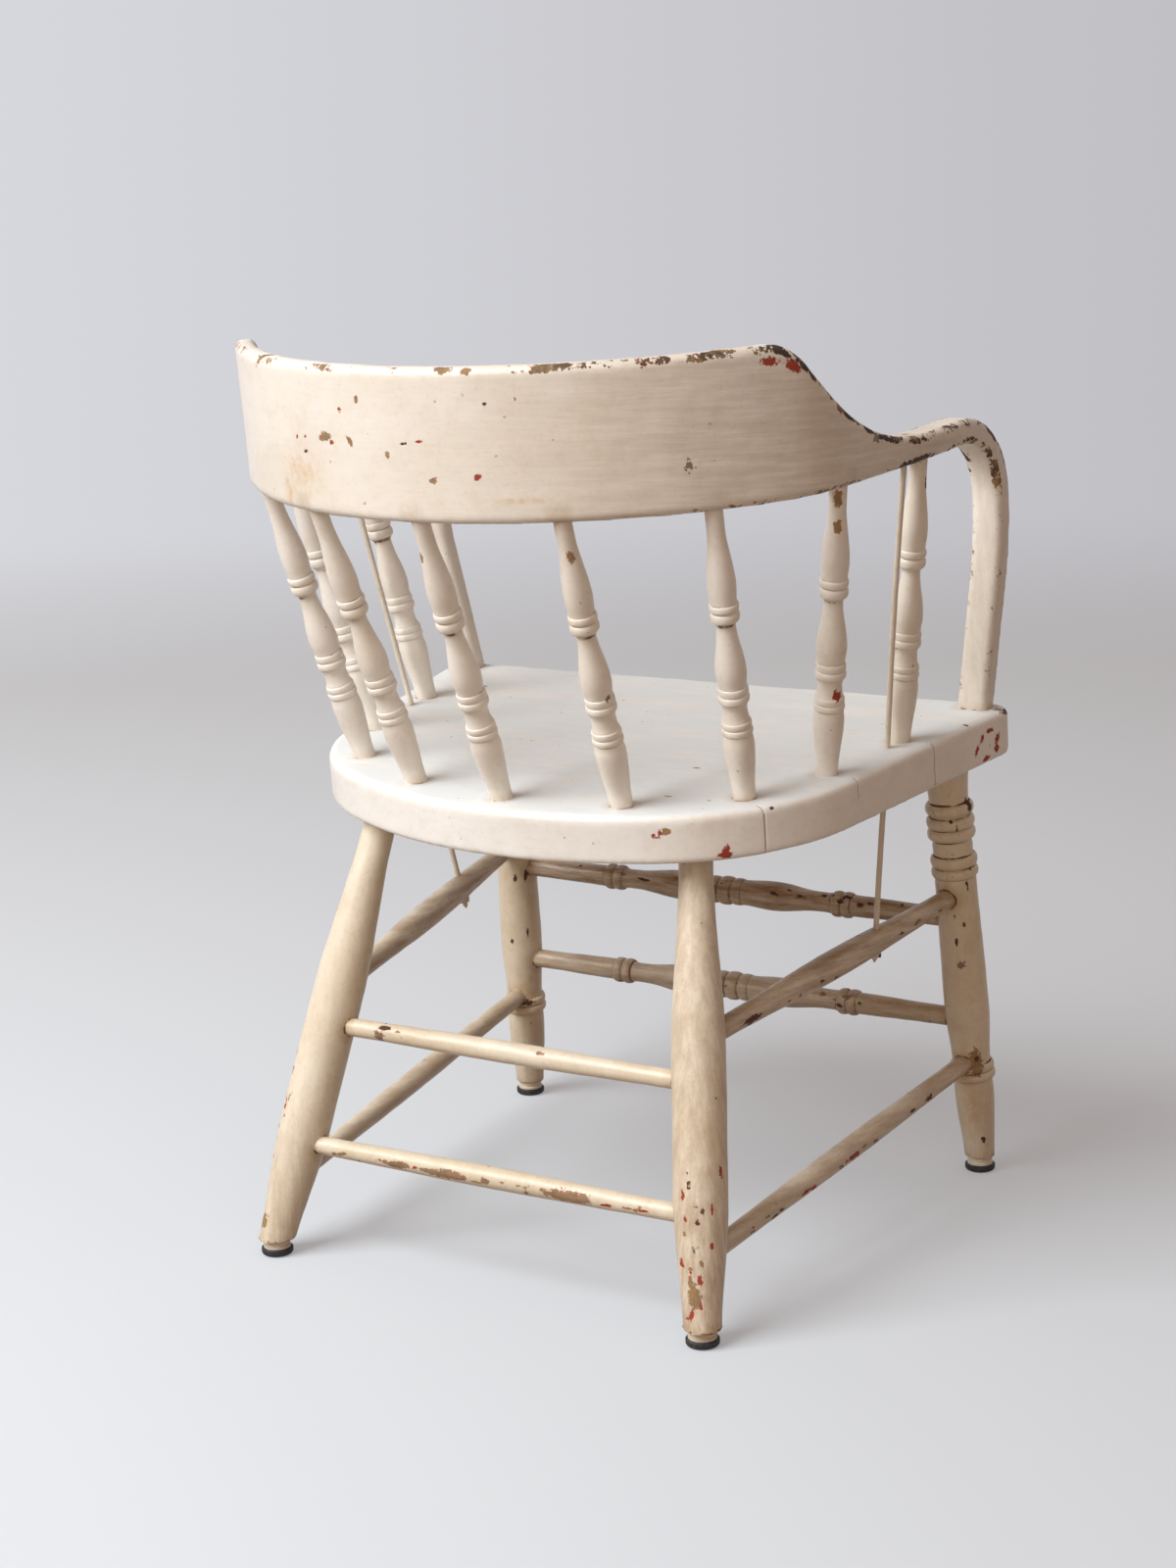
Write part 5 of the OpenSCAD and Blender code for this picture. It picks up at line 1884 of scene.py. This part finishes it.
class TieRods(SubAssembly):
    """The painted steel rods that tie the arms, seat and stretchers, with their nuts."""

    slot = "rod_paint"
    sizes = RodSizes()

    def rod(self, node: str, sway: int) -> Piece:
        """Turns a rod with its head and bends it a little, as use has.

        Args:
            node: The CAD node.
            sway: 1 or -1, the way that the rod bends sideways.

        Returns:
            The rod in its place.
        """
        s = self.sizes
        axis = Axis.of(node)
        length = axis.length
        o = Outline(0, 0.6 * MM).ease(s.tip, s.radius, MM)
        o.line(length - 1.6 * MM, s.radius, 6 * MM).line(length - 1.5 * MM, s.head, 9 * MM)
        o.line(length - 1.1 * MM, s.head).ease(length, s.head / 2, 0.4 * MM)
        piece = o.end().turned(node, 20)
        for v in piece.data.vertices:
            t = v.co.z / length
            below = t < s.seat_at
            slack = math.sin(math.pi * (t / s.seat_at if below else
                                        (t - s.seat_at) / (1 - s.seat_at)))
            v.co.x += sway * s.bow * 0.5 * slack
            v.co.y += s.bow * slack * (-0.4 if below else 1)
        Bench.place(piece, axis.matrix)
        Bench.uneven(piece, 0.25 * MM, 0.01)
        Bench.smooth(piece, 40)
        return piece

    def nut(self, node: str, rod: Axis) -> Piece:
        """Makes a square nut with knocked-off corners."""
        s = self.sizes
        low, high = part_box(node)
        middle = (low + high) / 2
        along = (rod.end - rod.start).normalized()
        rise = (middle - rod.start).dot(along)
        Bench.clear()
        bpy.ops.mesh.primitive_cube_add(size=1)
        nut = Bench.added(node)
        bpy.ops.transform.resize(value=(s.nut, s.nut, s.nut / 2))
        bpy.ops.mesh.bevel(offset=0.9 * MM, segments=3, profile=0.6, affect="EDGES")
        Bench.close_up(nut)
        Bench.place(nut, rod.matrix @ Matrix.Translation((0, 0, rise))
                    @ Matrix.Rotation(math.radians(s.nut_turn), 4, "Z"))
        Bench.finish_with(nut, "SUBSURF", levels=1, render_levels=1,
                          subdivision_type="SIMPLE")
        Bench.smooth(nut, 50)
        return nut

    def build(self) -> None:
        """Makes both rods and both nuts."""
        for side, sway in (("right", 1), ("left", -1)):
            self.keep(f"tie_rod_{side}", self.rod(f"tie_rod_{side}", sway))
            nut = f"tie_nut_{side}"
            self.keep(nut, self.nut(nut, Axis.of(f"tie_rod_{side}")))


@dataclass
class GlideSizes:
    """Sizes of the steel collars and rubber pads."""

    level: float = 14 * MM
    collar: float = 12 * MM
    pad: float = 14 * MM
    pad_rim: float = 7 * MM
    pad_floor: float = 3.5 * MM
    nail: float = 1.5 * MM
    nail_length: float = 18 * MM


class Glides(SubAssembly):
    """The steel collars, each nailed into a foot, and their rubber pads."""

    sizes = GlideSizes()

    def slot_of(self, node: str) -> str:
        """The material slot of one piece."""
        return "pad_rubber" if "pad" in node else "collar_paint"

    def collar(self) -> Piece:
        """Turns a collar with its boss, its groove and its nail."""
        s = self.sizes
        r, boss, waist = s.collar, s.collar - 0.7 * MM, s.collar - 1.8 * MM
        o = Outline(s.pad_floor, r - MM).ease(s.pad_floor + MM, r, 0.4 * MM)
        o.line(s.level - 5.4 * MM, r, MM).ease(s.level - 4.7 * MM, waist, 0.3 * MM)
        o.line(s.level - 3.7 * MM, waist, 0.5 * MM).ease(s.level - 3 * MM, boss, 0.3 * MM)
        o.line(s.level - 0.5 * MM, boss, MM).ease(s.level - 0.02 * MM, boss - 0.5 * MM,
                                                  0.2 * MM)
        o.line(s.level - 0.01 * MM, s.nail).line(s.level + s.nail_length - 3 * MM, s.nail)
        o.line(s.level + s.nail_length, 0.3 * MM)
        return o.end().turned("collar_pattern", 40)

    def pad(self) -> Piece:
        """Turns a rubber pad with a rounded sole and a rim round the collar."""
        s = self.sizes
        r, inner = s.pad, s.collar + 0.1 * MM
        o = Outline(0, r - 4 * MM)
        steps = 8
        for i in range(1, steps + 1):
            angle = math.pi / 2 * i / steps
            o.points.append((3 * MM * (1 - math.cos(angle)),
                             r - 4 * MM + 4 * MM * math.sin(angle)))
        o.line(s.pad_rim - 1.2 * MM, r, MM).ease(s.pad_rim, r - 1.2 * MM, 0.3 * MM)
        o.line(s.pad_rim - 0.1 * MM, inner, 0.5 * MM).line(s.pad_floor, inner, MM)
        return o.end().turned("pad_pattern", 40)

    def build(self) -> None:
        """Makes one collar and one pad and copies them to the four feet."""
        for part, pattern in (("collar", self.collar()), ("pad", self.pad())):
            for foot in ("front_right", "front_left", "rear_right", "rear_left"):
                node = f"glide_{part}_{foot}"
                low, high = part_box(node)
                piece = Bench.copy(pattern, node)
                Bench.place(piece, Matrix.Translation(((low.x + high.x) / 2,
                                                       (low.y + high.y) / 2, 0)))
                Bench.smooth(piece, 40)
                self.keep(node, piece)
            bpy.data.objects.remove(pattern)


# ---- Studio ----------------------------------------------------------------------


@dataclass(frozen=True)
class Lamp:
    """A broad lamp: the way to it, its power, its size and its tint."""

    name: str
    way: Row
    power: float
    size: float
    tint: Row


@dataclass
class Studio:
    """The plain pale floor and backdrop, the soft light and the camera.

    Attributes:
        backdrop: Colour of the backdrop on the key lamp's side.
        backdrop_far: Its colour on the other side.
        darker_way: The way in which it falls off.
        floor: Colour of the floor as it is seen.
        floor_glow: Least share of the floor's colour that the backdrop gives it.
        floor_bounce: Colour of the floor as it lights the chair.
        floor_size: Radius of the floor.
        fade: Distances between which the floor turns into the backdrop.
        soft_light: Colour of the light from all round.
        ambient: Strength of that light.
        camera_at: Place of the camera.
        azimuth: Where the camera stands round the chair, in degrees.
        elevation: How far above level it looks down from, in degrees.
        roll: How far it is turned about its line of sight, in degrees.
        lens: Focal length on a sensor 36 mm wide.
        aim: What the lamps point at.
        distance: How far away they are.
        lamps: The lamps.
    """

    backdrop: str = "D8D9DE"
    backdrop_far: str = "BFBEC3"
    darker_way: Row = (-0.854, -0.52, 0.0)
    floor: str = "E0E8EE"
    floor_glow: float = 0.42
    floor_bounce: str = "7E6C5C"
    floor_size: float = 14.0
    fade: tuple[float, float] = (0.9, 5.5)
    soft_light: str = "FFDFC9"
    ambient: float = 0.33
    camera_at: Row = (-1.2441, 2.0552, 0.9235)
    azimuth: float = 211.37
    elevation: float = 12.27
    roll: float = -1.5
    lens: float = 64.42
    aim: Row = (0, 0, 0.4)
    distance: float = 4.0
    lamps: tuple[Lamp, ...] = (Lamp("key", (0.47, 0.87, 0.9), 209.0, 2.8, (0.97, 0.99, 1.0)),
                               Lamp("fill", (-0.7, 1.0, 0.12), 20.9, 2.6, (1.0, 0.84, 0.7)))

    def build(self) -> None:
        """Sets up everything round the chair."""
        self.world()
        self.ground()
        self.light()
        self.camera()
        bpy.context.scene.view_settings.view_transform = "Standard"
        LOG.info("set up the studio")

    def world(self) -> None:
        """A backdrop colour for the camera and a soft even light for the rest."""
        world = bpy.data.worlds.new("studio")
        bpy.context.scene.world = world
        world.use_nodes = True
        world.node_tree.nodes.clear()
        g = Graph(world.node_tree)
        seen = self.seen(g)
        soft = g.add("ShaderNodeBackground", {"Color": colour(self.soft_light),
                                              "Strength": self.ambient})
        way = g.add("ShaderNodeTexCoord").outputs["Generated"]
        back = g.add("ShaderNodeBackground", {"Color": self.fading(g, way),
                                              "Strength": 1.0})
        both = g.add("ShaderNodeMixShader", {0: seen, 1: soft.outputs[0],
                                             2: back.outputs[0]})
        g.add("ShaderNodeOutputWorld", {0: both.outputs[0]})

    @staticmethod
    def seen(g: Graph) -> Socket:
        """One where the camera sees a place, straight on or in a sheen."""
        path = g.add("ShaderNodeLightPath").outputs
        return g.most(path["Is Camera Ray"], path["Is Glossy Ray"])

    def fading(self, g: Graph, way: Socket) -> Socket:
        """The backdrop's colour, which falls off away from the key lamp.

        Args:
            g: The graph to write in.
            way: The way from the middle of the studio.

        Returns:
            The colour.
        """
        side = g.add("ShaderNodeVectorMath", {0: way, 1: self.darker_way},
                     operation="DOT_PRODUCT").outputs["Value"]
        return g.mix(g.rise(side, -0.3, 0.3), colour(self.backdrop),
                     colour(self.backdrop_far))

    def ground(self) -> None:
        """A wide floor that fades into the backdrop far behind the chair."""
        Bench.clear()
        bpy.ops.mesh.primitive_circle_add(vertices=96, radius=self.floor_size,
                                          fill_type="NGON")
        floor = Bench.added("studio_floor")
        bpy.ops.mesh.inset(thickness=self.floor_size * 0.4)
        Bench.clear()
        material, g = new_material("studio_floor")
        place = g.add("ShaderNodeTexCoord").outputs["Object"]
        far = g.rise(g.add("ShaderNodeVectorMath", {0: place},
                           operation="LENGTH").outputs["Value"], *self.fade)
        seen = self.seen(g)
        matt = g.add("ShaderNodeBsdfDiffuse",
                     {"Color": g.mix(seen, colour(self.floor_bounce),
                                     colour(self.floor))})
        away = g.add("ShaderNodeVectorMath", {0: place, 1: self.camera_at},
                     operation="SUBTRACT").outputs[0]
        way = g.add("ShaderNodeVectorMath", {0: away}, operation="NORMALIZE").outputs[0]
        glow = g.add("ShaderNodeEmission", {"Color": self.fading(g, way),
                                            "Strength": 1.0})
        share = g.times(g.most(far, self.floor_glow), seen)
        both = g.add("ShaderNodeMixShader", {0: share, 1: matt.outputs[0],
                                             2: glow.outputs[0]})
        g.add("ShaderNodeOutputMaterial", {0: both.outputs[0]})
        floor.data.materials.append(material)

    def light(self) -> None:
        """One broad lamp from the left of the view and a weaker one from the right."""
        for lamp in self.lamps:
            light = bpy.data.lights.new(lamp.name, "AREA")
            light.energy = lamp.power
            light.size = lamp.size
            light.color = lamp.tint
            way = Vector(lamp.way)
            holder = bpy.data.objects.new(lamp.name, light)
            bpy.context.scene.collection.objects.link(holder)
            holder.location = Vector(self.aim) + way.normalized() * self.distance
            holder.rotation_euler = way.to_track_quat("Z", "Y").to_euler()

    def camera(self) -> None:
        """The camera, behind the chair and to its right, a little above the seat."""
        az, el = math.radians(self.azimuth), math.radians(self.elevation)
        back = Vector((math.sin(az) * math.cos(el), -math.cos(az) * math.cos(el),
                       math.sin(el)))
        right = Vector((math.cos(az), math.sin(az), 0))
        turn = Matrix((right, back.cross(right), back)).transposed().to_4x4()
        turn = turn @ Matrix.Rotation(math.radians(self.roll), 4, "Z")
        lens = bpy.data.cameras.new("view")
        lens.lens = self.lens
        lens.sensor_width = 36
        lens.clip_start = 0.05
        holder = bpy.data.objects.new("view", lens)
        bpy.context.scene.collection.objects.link(holder)
        holder.matrix_world = Matrix.Translation(self.camera_at) @ turn
        bpy.context.scene.camera = holder


# ---- All together ------------------------------------------------------------------


def main() -> None:
    """Builds the chair, ages it, paints it and sets up the studio."""
    logging.basicConfig(level=logging.INFO, format="%(message)s")
    shop = PaintShop()
    weather = Weathering()
    groups: list[SubAssembly] = [Seat(), Bow(), Spindles(), Legs(), Stretchers(),
                                 TieRods(), Glides()]
    for group in groups:
        group.build()
    for group in groups:
        for piece in group.pieces.values():
            weather.remember(piece)
    boards = [f"{node}_shown" for node in Seat.BOARDS]
    for group in groups:
        for node, piece in group.pieces.items():
            points = weather.points(piece)
            weather.age(piece, Damage(piece, node).marks(), group.soil_and_shade(node, points),
                        group.wear(points), boards if isinstance(group, Seat) else ())
            shop.dress(piece, group.slot_of(node))
    LOG.info("aged and painted every piece")
    Studio().build()


if __name__ == "__main__":
    main()
